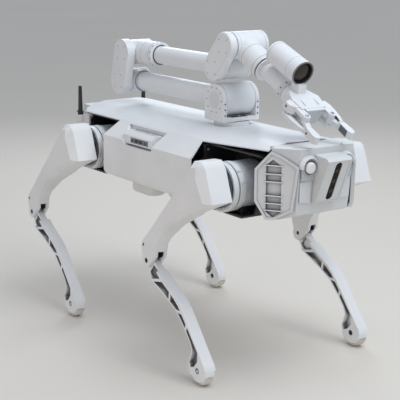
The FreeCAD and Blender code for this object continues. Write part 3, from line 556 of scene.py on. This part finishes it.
def hip_details(corner, hip, outward):
    body = corner + "_hip"
    centre = Vector((hip.x, outward * HIP_RING_Y, hip.z))
    inward = Vector((0, -outward, 0))
    ring_radius = 64.8 * MM

    def grooves(bm):
        """Dark lines round the ring of the motor."""
        for depth in (17.2, 35.4):
            line = ring_profile(62 * MM, ring_radius, depth * MM, (depth + 1.4) * MM, 0.3 * MM)
            lathe(bm, line, centre, inward, 72)

    def face_ring(bm):
        """Polished lip around the mouth of the motor, next to the thigh."""
        lathe(bm, ring_profile(55 * MM, 61 * MM, -0.9 * MM, 0.6 * MM, 0.5 * MM), centre, inward, 72)

    def clips(bm):
        """Small clamps that hold the ring on the can."""
        for turn in (18, 46, 130, 160, 205, 328):
            angle = math.radians(turn)
            spoke = Vector((math.cos(angle), 0, math.sin(angle)))
            spot = centre + inward * 27 * MM + spoke * (ring_radius + 2 * MM)
            axes = (spoke.cross(Y_AXIS), Y_AXIS, spoke)
            brick(bm, spot, (7 * MM, 12 * MM, 2.2 * MM), axes)
            brick(bm, spot + spoke * 1.4 * MM, (3 * MM, 6 * MM, 1.6 * MM), axes)

    def can_fins(bm):
        """Cooling fins along the bare can."""
        for spoke in spokes(48):
            spot = centre + inward * 74 * MM + spoke * 63.6 * MM
            brick(bm, spot, (1.2 * MM, 60 * MM, 0.8 * MM), (spoke.cross(Y_AXIS), Y_AXIS, spoke))

    def bolts(bm):
        """Bolts in the inner end of the can."""
        end = centre + inward * 112.2 * MM
        screw_heads(bm, [(end + spoke * 52 * MM, inward) for spoke in spokes(8, 0.5)], 3.2 * MM)

    piece(corner + "_hip_groove_seals", grooves, "black_plastic", body)
    piece(corner + "_hip_face_ring", face_ring, "bolt_metal", body)
    piece(corner + "_hip_clips", clips, "arm_face", body, 0.5 * MM)
    piece(corner + "_hip_can_fins", can_fins, "panel_grey", body, 0.3 * MM)
    piece(corner + "_hip_bolts", bolts, "dark_bolt", body)


def foot_centre(corner):
    """Middle of the round foot, from the outer end and the underside of its sole."""
    low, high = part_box(corner + "_foot_pad")
    return Vector((high.x - FOOT_RADIUS, 0, low.z + FOOT_RADIUS))


for corner in CORNERS:
    outward = 1 if "left" in corner else -1
    hip_centre = joint_point(corner + "_thigh_pitch")
    knee_centre = joint_point(corner + "_knee")
    foot_point = foot_centre(corner)
    thigh_link = Link(hip_centre, knee_centre, outward)
    calf_link = Link(knee_centre, foot_point, outward)
    hip_details(corner, hip_centre, outward)
    thigh_details(corner, thigh_link)
    calf_details(corner, calf_link, foot_point)
    foot_tread(corner, calf_link, foot_point)


# ---- trunk ----
def on_trunk(x, y, z):
    """A point given in millimetres from the trunk's middle."""
    return Vector((TRUNK_X + x * MM, y * MM, z * MM))


def port_connectors(side):
    """Sockets, caps and vents in the sunken bay of one side cover."""
    sign = 1 if side == "left" else -1
    outward = Vector((0, sign, 0))
    cap_places = [on_trunk(x, sign * 190.6, 574) for x in (-72, -4)]

    def panel(bm):
        """Dark socket panel set into the hood's upright face."""
        brick(bm, on_trunk(-38, sign * 190.2, 574), (92 * MM, 1.2 * MM, 15 * MM))

    def caps(bm):
        for spot in cap_places:
            lathe(bm, ring_profile(0, 5 * MM, 0, 2.2 * MM, 0.8 * MM), spot, outward, 24)
        for x in (-52, -30):
            brick(bm, on_trunk(x, sign * 191.2, 574), (14 * MM, 2 * MM, 7 * MM))

    def sleeves(bm):
        for spot in cap_places:
            lathe(bm, ring_profile(5.2 * MM, 6.4 * MM, 0, 1.4 * MM, 0.4 * MM), spot, outward, 28)

    def hood_vents(bm):
        for x in range(-100, 16, 10):
            brick(bm, on_trunk(x, sign * 163, 596.1), (3 * MM, 14 * MM, 0.8 * MM))

    piece("port_panel_" + side, panel, "pocket_grey", "trunk", 0.4 * MM)
    piece("port_caps_" + side, caps, "black_plastic", "trunk", 0.5 * MM)
    piece("port_sleeves_" + side, sleeves, "bolt_metal", "trunk")
    piece("port_hood_vents_" + side, hood_vents, "line_grey", "trunk", 0.3 * MM)


def frame_details():
    """Ribs, cable trays and bolts on the black frame in the hip openings."""
    bulkhead = 231 * MM
    spans = ((TRUNK_X + bulkhead, TRUNK_X + 447 * MM), (TRUNK_X - 422 * MM, TRUNK_X - bulkhead))

    def ribs(bm):
        for low, high in spans:
            for step in range(5):
                x = low + (high - low) * (step + 0.5) / 5
                for side in (-1, 1):
                    brick(bm, (x, side * 45 * MM, 537 * MM), (5 * MM, 3 * MM, 118 * MM))
            for z in (500, 572):
                for side in (-1, 1):
                    spot = ((low + high) / 2, side * 45.5 * MM, z * MM)
                    brick(bm, spot, (high - low - 2 * MM, 4 * MM, 6 * MM))

    def trays(bm):
        for low, high in spans:
            for side in (-1, 1):
                spot = ((low + high) / 2, side * 112 * MM, 600 * MM)
                brick(bm, spot, (high - low - 6 * MM, 16 * MM, 6 * MM))

    def bolts(bm):
        spots = []
        for way in (1, -1):
            for y in (-138, -60, 60, 138):
                for z in (470, 535, 590):
                    spots.append((Vector((TRUNK_X + way * bulkhead, y * MM, z * MM)), X_AXIS * way))
        screw_heads(bm, spots, 3.4 * MM)

    piece("frame_ribs", ribs, "black_frame", "trunk", 0.6 * MM)
    piece("frame_trays", trays, "black_plastic", "trunk", 1 * MM)
    piece("frame_bolts", bolts, "bolt_metal", "trunk")


def rear_details():
    """Vent slots and two round caps on the rear cover."""
    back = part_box("rear_cover")[0].x

    def vents(bm):
        for z in range(522, 582, 10):
            brick(bm, (back + 0.3 * MM, 0, z * MM), (1.0 * MM, 120 * MM, 3 * MM))

    def caps(bm):
        for y in (-84, 84):
            lathe(bm, ring_profile(0, 12 * MM, 0, 2.4 * MM, 1 * MM), (back, y * MM, 552 * MM), -X_AXIS, 40)

    piece("rear_vents", vents, "line_grey", "trunk", 0.3 * MM)
    piece("rear_caps", caps, "black_plastic", "trunk")


def antenna_collars(bm):
    """A foot and a band on each antenna."""
    low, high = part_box("antennas")
    for y in (low.y + 9 * MM, high.y - 9 * MM):
        spot = Vector((middle("antennas").x, y, 596 * MM))
        lathe(bm, ring_profile(6.5 * MM, 11.5 * MM, 0, 5 * MM, 1.2 * MM), spot, Z_AXIS, 32)
        lathe(bm, ring_profile(5.0 * MM, 7.3 * MM, 66 * MM, 67.5 * MM, 0.3 * MM), spot, Z_AXIS, 32)


for side in ("right", "left"):
    port_connectors(side)
frame_details()
rear_details()
piece("antenna_collars", antenna_collars, "black_frame", "trunk")


# ---- head ----
LAMP_Y = 60 * MM
NOSE_SLOPE = math.radians(22.2)
NOSE_OUTWARD = Vector((math.cos(NOSE_SLOPE), 0, -math.sin(NOSE_SLOPE)))
NOSE_UP = Vector((math.sin(NOSE_SLOPE), 0, math.cos(NOSE_SLOPE)))
NOSE_CENTRE = on_trunk(585, 0, 548.35)
LOUVRE_HEIGHTS = (589, 567, 547, 511, 491, 473)


def lamp_details():
    """Rim, niche, rings and hood of the two lamps."""
    low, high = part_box("head_lamps")
    centres = [Vector((high.x, y, (low.z + high.z) / 2)) for y in (-LAMP_Y, LAMP_Y)]

    def lamp_rims(bm):
        for centre in centres:
            lathe(bm, ring_profile(15.4 * MM, 19.0 * MM, -12 * MM, -8 * MM, 0.8 * MM), centre, X_AXIS, 48)

    def niches(bm):
        """Grey arched panel that each lamp stands in front of: painted shade of the recess round the lamp."""
        half = 24
        turns = [math.pi * i / 12 for i in range(13)]
        outline = [(half, -34), (-half, -34)]
        outline += [(-half * math.cos(turn), half * math.sin(turn)) for turn in turns]
        for centre in centres:
            corners = [centre + Vector((-12.4, u, v)) * MM for u, v in outline]
            slab(bm, corners, X_AXIS * 0.9 * MM)

    def lamp_rings(bm):
        """Stepped rings moulded into each lamp's lens."""
        for centre in centres:
            for radius in (5 * MM, 8.5 * MM):
                ring = ring_profile(radius, radius + 1.2 * MM, -0.6 * MM, 0.5 * MM, 0.3 * MM)
                lathe(bm, ring, centre, X_AXIS, 40)

    def brows(bm):
        """Arched hood that stands out over each lamp."""
        steps = 16
        section = ((22.5, -13.5), (22.9, -3.0), (24.0, -1.4), (26.4, -1.6), (31.0, -13.5))
        for centre in centres:
            rows = []
            for i in range(steps + 1):
                turn = math.radians(-5 + 190 * i / steps)
                spoke = Y_AXIS * math.cos(turn) + Z_AXIS * math.sin(turn)
                rows.append([
                    bm.verts.new(centre + (X_AXIS * out + spoke * radius) * MM) for radius, out in section
                ])
            for first, second in zip(rows, rows[1:]):
                for i in range(len(section)):
                    j = (i + 1) % len(section)
                    bm.faces.new((first[i], first[j], second[j], second[i]))
            bm.faces.new(rows[0])
            bm.faces.new(rows[-1][::-1])

    # grey rims and grey niches round each lamp: painted soft shade
    piece("head_lamp_rims", lamp_rims, "panel_grey", "trunk")
    piece("head_lamp_niches", niches, "lamp_niche_shade", "trunk", 0.2 * MM)
    piece("head_lamp_rings", lamp_rings, "lamp_white", "trunk")
    piece("head_lamp_brows", brows, "white_cover", "trunk")


def nose_eyes(bm):
    """Three camera eyes behind the dark window."""
    for height in (-30, 0, 30):
        spot = NOSE_CENTRE + NOSE_UP * height * MM - NOSE_OUTWARD * 2.6 * MM
        lathe(bm, ring_profile(3.4 * MM, 5.6 * MM, 0, 0.5 * MM, 0.2 * MM), spot, NOSE_OUTWARD, 32)
        lathe(bm, [(0, 0.45 * MM), (2 * MM, 0.35 * MM), (3.3 * MM, 0), (0, 0)], spot, NOSE_OUTWARD, 32)


def cheek_axes(sign):
    """Outwards from one cheek plate, rearwards along it, and its middle at z = 0."""
    rear = Vector((465 * MM, 162 * MM, 0))
    front = Vector((560 * MM, 95 * MM, 0))
    run = (rear - front).normalized()
    outward = Vector((-run.y, run.x, 0))
    if outward.x < 0:
        outward = -outward
    centre = (rear + front) / 2
    flip = Vector((1, sign, 1))
    return outward * flip, run * flip, centre * flip + Vector((TRUNK_X, 0, 0))


def louvre_blades(bm):
    """Slanting blades in each cheek, three above and three below."""
    for sign in (-1, 1):
        outward, rearward, centre = cheek_axes(sign)
        tilt = (outward * 0.9 + Z_AXIS * 0.35).normalized()
        for z in LOUVRE_HEIGHTS:
            spot = centre + Z_AXIS * z * MM - outward * 2.6 * MM + rearward * 8 * MM
            brick(bm, spot, (49 * MM, 8 * MM, 2.2 * MM), (rearward, tilt, rearward.cross(tilt)))


def head_hatches(bm):
    """Flush square covers beside the nose."""
    for sign in (-1, 1):
        corners = [(549.6, 46, 552), (549.9, 84, 549), (547, 82, 494), (546.8, 47, 491)]
        slab(bm, [on_trunk(x, sign * y, z) for x, y, z in corners], Vector((1.6 * MM, 0, 0)))


def brow_lines(bm):
    """Thin curved lines over the top of the head."""
    steps = 14
    for sign in (-1, 1):
        path = []
        for i in range(steps + 1):
            part = 0.55 + 0.45 * i / steps
            path.append(on_trunk(478 + 74 * part, sign * (104 - 56 * part ** 1.6), 633.1))
        for start, end in zip(path, path[1:]):
            run = end - start
            axes = (run.normalized(), Z_AXIS.cross(run.normalized()), Z_AXIS)
            brick(bm, (start + end) / 2, (run.length + 0.3 * MM, 0.9 * MM, 0.6 * MM), axes)


lamp_details()
piece("nose_camera_eyes", nose_eyes, "lens", "trunk")
piece("cheek_louvre_blades", louvre_blades, "white_cover", "trunk", 0.4 * MM)
piece("head_hatches", head_hatches, "arm_face", "trunk", 0.5 * MM)
piece("head_brow_lines", brow_lines, "black_plastic", "trunk")


# ---- arm ----
SHOULDER = joint_point("arm_shoulder")
ELBOW = joint_point("arm_elbow")
WRIST_LOWER = joint_point("wrist_link_lift")
WRIST_UPPER = joint_point("wrist_pitch")
ELBOW_UPPER = Vector((ELBOW.x + 21 * MM, 0, WRIST_LOWER.z))
LINK_FACE_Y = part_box("elbow_link")[0].y
TOOL_ALONG = Vector(JOINTS["tool_roll"]["axis"]).normalized()
TOOL_UP = Y_AXIS.cross(TOOL_ALONG) * -1


def on_tool(along, across=0.0, up=0.0):
    """A point in millimetres from the upper wrist: along the tool's axis, across it and above it."""
    return WRIST_UPPER + TOOL_ALONG * along * MM + Y_AXIS * across * MM + TOOL_UP * up * MM


def stadium_path(start, end, radius, steps=16):
    """Outline round two centres in the XZ plane, as (x, z) pairs."""
    run = Vector((end.x - start.x, end.z - start.z)).normalized()
    square_on = math.atan2(run.y, run.x) + math.pi / 2
    path = []
    for centre, first in ((start, square_on), (end, square_on - math.pi)):
        for i in range(steps + 1):
            turn = first + math.pi * i / steps
            path.append((centre.x + radius * math.cos(turn), centre.z + radius * math.sin(turn)))
    return path


def link_details(name, body, start, end, radius):
    """Cover on a link plate: a low flat face and a few small screws."""
    outward = Vector((0, -1, 0))

    def face(bm):
        path = stadium_path(start, end, radius - 9 * MM, 24)
        slab(bm, [(x, LINK_FACE_Y, z) for x, z in path], outward * 0.6 * MM)

    def screws(bm):
        for centre in (start, end):
            face_centre = Vector((centre.x, LINK_FACE_Y - 0.6 * MM, centre.z))
            circle = [face_centre + spoke * (radius - 14 * MM) for spoke in spokes(4, 0.5)]
            screw_heads(bm, [(spot, outward) for spot in circle], 1.5 * MM)

    piece(name + "_face", face, "arm_metal", body, 0.3 * MM)
    piece(name + "_screws", screws, "dark_bolt", body)


def drum_details(name, body, centre, radius, near_y, far_y):
    """Cross drum: two grooves round it, and a bolted end cap."""
    cap_depth = 1.4 * MM
    far_end = Vector((centre.x, far_y, centre.z))

    def grooves(bm):
        line = ring_profile(radius - 1 * MM, radius + 0.15 * MM, 0, 0.8 * MM)
        for y in (near_y + 10 * MM, far_y - 12 * MM):
            lathe(bm, line, (centre.x, y, centre.z), Y_AXIS, 56)

    def cap(bm):
        lathe(bm, ring_profile(0, radius - 7 * MM, 0, cap_depth, 0.6 * MM), far_end, Y_AXIS, 56)

    def bolts(bm):
        circle = [far_end + Y_AXIS * cap_depth + spoke * (radius - 12 * MM) for spoke in spokes(6, 0.5)]
        screw_heads(bm, [(spot, Y_AXIS) for spot in circle], 2.2 * MM)

    piece(name + "_grooves", grooves, "line_grey", body)
    piece(name + "_end_cap", cap, "arm_face", body)
    piece(name + "_end_bolts", bolts, "dark_bolt", body)


def turret_details():
    """Bolts and caps on the yoke's two cheeks, and what lies on its floor and round its base."""
    low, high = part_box("arm_turret")
    cheeks = [(Vector((SHOULDER.x, y, SHOULDER.z)), Y_AXIS * way) for y, way in ((low.y, -1), (high.y, 1))]
    floor_x = SHOULDER.x + 31 * MM

    def bolt_circle(bm):
        for centre, axis in cheeks:
            screw_heads(bm, [(centre + spoke * 35 * MM, axis) for spoke in spokes(10)], 1.7 * MM)

    def centre_caps(bm):
        for centre, axis in cheeks:
            lathe(bm, ring_profile(0, 22 * MM, 0, 1.1 * MM, 0.6 * MM), centre, axis, 56)

    def front_screws(bm):
        for y in (-56, 56):
            spots = [(Vector((high.x, y * MM, z * MM)), X_AXIS) for z in (668, 684, 700)]
            screw_heads(bm, spots, 2.4 * MM)

    def floor_slot(bm):
        brick(bm, (floor_x, 0, 661.2 * MM), (16 * MM, 54 * MM, 0.8 * MM))

    def floor_pin(bm):
        lathe(bm, ring_profile(0, 5 * MM, 0, 3 * MM, 1 * MM), (floor_x, 0, 661.4 * MM), Z_AXIS, 28)

    def base_bolts(bm):
        centre = Vector((SHOULDER.x, 0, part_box("arm_base")[1].z))
        circle = [centre + spoke * 45 * MM for spoke in spokes(8, 0.5, X_AXIS, Y_AXIS)]
        screw_heads(bm, [(spot, Z_AXIS) for spot in circle], 2.4 * MM)

    piece("turret_bolt_circles", bolt_circle, "dark_bolt", "turret")
    piece("turret_centre_caps", centre_caps, "arm_face", "turret")
    piece("turret_front_screws", front_screws, "dark_bolt", "turret")
    piece("turret_floor_slot", floor_slot, "black_plastic", "turret", 0.2 * MM)
    piece("turret_floor_pin", floor_pin, "bolt_metal", "turret")
    piece("arm_base_bolts", base_bolts, "dark_bolt", "trunk")


def tube_details():
    """Grooves, clamps and bolts along the two arm tubes and the forearm's socket."""
    socket_end = Vector((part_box("elbow_link")[1].x, 0, ELBOW_UPPER.z))

    def upper_rings(bm):
        """Grooves round the rear collar of the upper arm."""
        for x, radius in ((47.5, 33.2 * MM), (55, 29.3 * MM)):
            spot = (ELBOW.x + x * MM, 0, SHOULDER.z)
            lathe(bm, ring_profile(radius - 5 * MM, radius, 0, 1.4 * MM), spot, X_AXIS, 56)

    def upper_clamp(bm):
        spot = (SHOULDER.x - 62 * MM, 0, SHOULDER.z)
        lathe(bm, ring_profile(28.9 * MM, 32.5 * MM, 0, 14 * MM, 1 * MM), spot, X_AXIS, 56)

    def barrel_seam(bm):
        """Dark seam where the forearm tube leaves its socket."""
        seam = ring_profile(27.1 * MM, 30 * MM, -0.2 * MM, 1.0 * MM, 0.3 * MM)
        lathe(bm, seam, socket_end, X_AXIS, 56)

    def barrel_bolts(bm):
        centre = socket_end - X_AXIS * 7 * MM
        spots = [(centre + spoke * 38 * MM, spoke) for spoke in spokes(12, 0.5, Y_AXIS, Z_AXIS)]
        screw_heads(bm, spots, 1.9 * MM)

    def barrel_grooves(bm):
        for back in (18, 60):
            spot = socket_end - X_AXIS * back * MM
            lathe(bm, ring_profile(37 * MM, 38.25 * MM, 0, 1.2 * MM), spot, X_AXIS, 64)

    def fore_rings(bm):
        for back in (44, 50):
            spot = (WRIST_LOWER.x - back * MM, 0, WRIST_LOWER.z)
            lathe(bm, ring_profile(26 * MM, 27.3 * MM, 0, 1.2 * MM), spot, X_AXIS, 56)

    piece("upper_arm_rings", upper_rings, "line_grey", "upper_arm")
    piece("upper_arm_clamp", upper_clamp, "arm_metal", "upper_arm")
    piece("barrel_seam", barrel_seam, "black_plastic", "forearm")
    piece("barrel_bolts", barrel_bolts, "dark_bolt", "forearm")
    piece("barrel_grooves", barrel_grooves, "line_grey", "forearm")
    piece("forearm_rings", fore_rings, "line_grey", "forearm")


def tool_details():
    """Ring, collar and grooves along the tool's axis."""
    collar_radius = 25.5 * MM

    def dark_ring(bm):
        ring = ring_profile(21.9 * MM, 34.4 * MM, -0.6 * MM, 1.6 * MM, 0.3 * MM)
        lathe(bm, ring, on_tool(119), TOOL_ALONG, 64)

    def collar(bm):
        lathe(bm, ring_profile(21.8 * MM, collar_radius, 0, 15 * MM, 1 * MM), on_tool(213), TOOL_ALONG, 56)

    def collar_screws(bm):
        across = spokes(8, 0.5, Y_AXIS, TOOL_UP)
        screw_heads(bm, [(on_tool(220.5) + spoke * collar_radius, spoke) for spoke in across], 2.3 * MM)

    def can_grooves(bm):
        for along in (52, 104):
            lathe(bm, ring_profile(35 * MM, 36.25 * MM, 0, 1.3 * MM), on_tool(along), TOOL_ALONG, 64)

    piece("tool_dark_ring", dark_ring, "black_frame", "tool")
    piece("tool_collar", collar, "arm_face", "tool")
    piece("tool_collar_screws", collar_screws, "dark_bolt", "tool")
    piece("wrist_can_grooves", can_grooves, "line_grey", "wrist")


def camera_details():
    """Rim, sleeve, glass and bands of the camera can over the tool."""
    tilt = math.radians(-5.5)
    along = TOOL_ALONG * math.cos(tilt) - TOOL_UP * math.sin(tilt)
    back = on_tool(134, 0, 62)

    def rim(bm):
        lathe(bm, ring_profile(29.9 * MM, 33.15 * MM, 120 * MM, 123.1 * MM, 0.6 * MM), back, along, 64)

    def barrel(bm):
        """Black sleeve inside the open end."""
        outline = [(29.95, 120.4), (28.6, 120), (28.0, 112.4), (29.95, 112.4), (29.95, 120.4)]
        lathe(bm, [(radius * MM, height * MM) for radius, height in outline], back, along, 64)

    def glass(bm):
        """Domed front glass."""
        steps = 8
        radius = 27.9 * MM
        profile = [(0, 112.1 * MM), (radius, 112.1 * MM)]
        for i in range(steps):
            turn = i / steps * math.pi / 2
            profile.append((radius * math.cos(turn), (112.3 + 6 * math.sin(turn)) * MM))
        profile.append((0, 118.3 * MM))
        lathe(bm, profile, back, along, 56)

    def iris(bm):
        """Stepped rings that show on the front glass."""
        for radius, low, high in ((9, 117.3, 118.1), (16, 116.5, 117.3)):
            ring = ring_profile(radius * MM, (radius + 1.4) * MM, low * MM, high * MM, 0.1 * MM)
            lathe(bm, ring, back, along, 56)

    def bands(bm):
        for height in (9, 88):
            lathe(bm, ring_profile(32 * MM, 33.15 * MM, height * MM, (height + 0.9) * MM), back, along, 64)

    piece("camera_rim", rim, "pocket_grey", "tool")
    piece("camera_barrel", barrel, "black_plastic", "tool")
    piece("camera_front_glass", glass, "lens", "tool")
    piece("camera_iris", iris, "black_plastic", "tool")
    piece("camera_bands", bands, "line_grey", "tool")


def finger_details(side, sign):
    """Pad, seal and bolt of one finger."""
    body = "finger_" + side

    def pad(bm):
        """Ribbed rubber pad on the inner face of the paddle."""
        start = on_tool(398, sign * 46.6, sign * 1.5)
        end = on_tool(429, sign * 45.8, sign * 1.5)
        run = (end - start).normalized()
        inward = Y_AXIS * -sign
        brick(bm, (start + end) / 2, (30 * MM, 1.4 * MM, 17 * MM), (run, inward, TOOL_UP))
        for step in range(6):
            spot = start + run * (3 + 5 * step) * MM + inward * 1.0 * MM
            brick(bm, spot, (2.2 * MM, 1.2 * MM, 16 * MM), (run, inward, TOOL_UP))

    def crank_seal(bm):
        """Black strip along the inner edge of the crank."""
        path = [
            on_tool(along, sign * across, sign * 9)
            for along, across in ((388, 50.6), (372, 54.2), (346, 56.2), (318, 57.2), (302, 55.4))
        ]
        for start, end in zip(path, path[1:]):
            run = end - start
            axes = (run.normalized(), run.normalized().cross(TOOL_UP), TOOL_UP)
            brick(bm, (start + end) / 2, (run.length + 0.5 * MM, 1.0 * MM, 9 * MM), axes)

    def tip_bolt(bm):
        screw_heads(bm, [(on_tool(402, sign * 64.4, sign * 3), Y_AXIS * sign)], 3.2 * MM)

    piece("finger_pad_" + side, pad, "pocket_grey", body, 0.3 * MM)
    piece("finger_seal_" + side, crank_seal, "black_plastic", body)
    piece("finger_bolt_" + side, tip_bolt, "dark_bolt", body)


def gripper_details():
    """Grey front panel, painted shade on the palm's front face; bolts and lines of the palm."""

    def front_shade_panel(bm):
        # painted shade: a grey sheet over the palm's front face
        corners = [(-27, 20), (27, 20), (15, -20), (-15, -20)]
        slab(bm, [on_tool(345, y, z) for y, z in corners], TOOL_ALONG * 0.9 * MM)

    def hinge_bolts(bm):
        spots = []
        for y in (-42, 42):
            spots.append((on_tool(362, y, 20), TOOL_UP))
            spots.append((on_tool(362, y, -20), -TOOL_UP))
        screw_heads(bm, spots, 5.4 * MM)

    def housing_bolts(bm):
        """Dark bolts on the two crank housings."""
        spots = [(on_tool(303, -64.8, 12), -Y_AXIS), (on_tool(303, 64.8, -12), Y_AXIS)]
        screw_heads(bm, spots, 3.4 * MM)

    def edge_lines(bm):
        for y in (-22, 22):
            brick(bm, on_tool(306, y, 25.2), (40 * MM, 0.9 * MM, 0.8 * MM), (TOOL_ALONG, Y_AXIS, TOOL_UP))

    piece("palm_front_panel", front_shade_panel, "panel_grey", "tool", 0.4 * MM)
    piece("palm_hinge_bolts", hinge_bolts, "bolt_metal", "tool")
    piece("palm_housing_bolts", housing_bolts, "dark_bolt", "tool")
    piece("palm_edge_lines", edge_lines, "line_grey", "tool")


link_details("elbow_link", "forearm", ELBOW, ELBOW_UPPER, 41 * MM)
link_details("wrist_link", "wrist_link", WRIST_LOWER, WRIST_UPPER, 38 * MM)
drum_details("elbow_drum", "upper_arm", ELBOW, 36 * MM, -40 * MM, 38 * MM)
drum_details("elbow_cross_drum", "forearm", ELBOW_UPPER, 38 * MM, -41 * MM, 38 * MM)
drum_details("forearm_end_drum", "forearm", WRIST_LOWER, 35 * MM, -40 * MM, 50 * MM)
drum_details("wrist_drum", "wrist", WRIST_UPPER, 38 * MM, -40 * MM, 65 * MM)
turret_details()
tube_details()
tool_details()
camera_details()
gripper_details()
for side, sign in (("right", -1), ("left", 1)):
    finger_details(side, sign)


# ---- stage ----
def make_stage():
    """A wide plain floor with its top at z = 0."""
    mesh = bpy.data.meshes.new("studio_floor")
    bm = bmesh.new()
    width, depth = 40, 0.04
    brick(bm, (0, 0, -depth / 2), (width, width, depth))
    bm.to_mesh(mesh)
    bm.free()
    mesh.materials.append(floor_paint().material)
    ground = bpy.data.objects.new("studio_floor", mesh)
    bpy.context.scene.collection.objects.link(ground)


def area_light(name, place, target, size, power, colour, spread=180):
    """A round lamp that points at a target; the spread is its beam in degrees."""
    data = bpy.data.lights.new(name, "AREA")
    data.shape = "DISK"
    data.size = size
    data.energy = power
    data.color = colour
    data.spread = math.radians(spread)
    light = bpy.data.objects.new(name, data)
    light.location = place
    light.rotation_mode = "QUATERNION"
    light.rotation_quaternion = (Vector(target) - Vector(place)).to_track_quat("-Z", "Y")
    bpy.context.scene.collection.objects.link(light)


def make_lights():
    """Pale sky, three broad lamps, and a weak warm one beside the robot's right side."""
    world = bpy.data.worlds.new("studio")
    world.use_nodes = True
    background = world.node_tree.nodes["Background"]
    background.inputs["Color"].default_value = (0.84, 0.90, 1.0, 1)
    background.inputs["Strength"].default_value = 0.56
    bpy.context.scene.world = world
    centre = (0, 0, 0.5)
    area_light("overhead", (1.2, 0.4, 3.3), centre, 2.4, 50, (0.88, 0.94, 1.0))
    area_light("front_fill", (2.9, 0.5, 2.5), centre, 1.6, 11, (0.95, 0.98, 1.0))
    area_light("warm_bounce", (0.7, -2.6, 0.5), (0, -0.1, 0.58), 0.8, 1.0, (1.0, 0.70, 0.44), 70)
    area_light("rear_edge", (-2.6, 1.6, 2.2), centre, 1.2, 18, (0.9, 0.95, 1.0))


def make_camera():
    """Standing in front of the robot's right shoulder, a little above it, with a long lens."""
    data = bpy.data.cameras.new("camera")
    data.sensor_width = 36.0
    data.lens = 104.5
    camera = bpy.data.objects.new("camera", data)
    camera.location = (TRUNK_X + 2.7395, -1.9225, 1.1592)
    look = Vector((-0.798, 0.559, -0.2246)).normalized()
    roll = Matrix.Rotation(math.radians(-0.35), 4, look)
    camera.matrix_world = (
        Matrix.Translation(camera.location) @ roll @ look.to_track_quat("-Z", "Y").to_matrix().to_4x4()
    )
    bpy.context.scene.collection.objects.link(camera)
    bpy.context.scene.camera = camera


make_stage()
make_lights()
make_camera()
bpy.context.scene.view_settings.view_transform = "Standard"
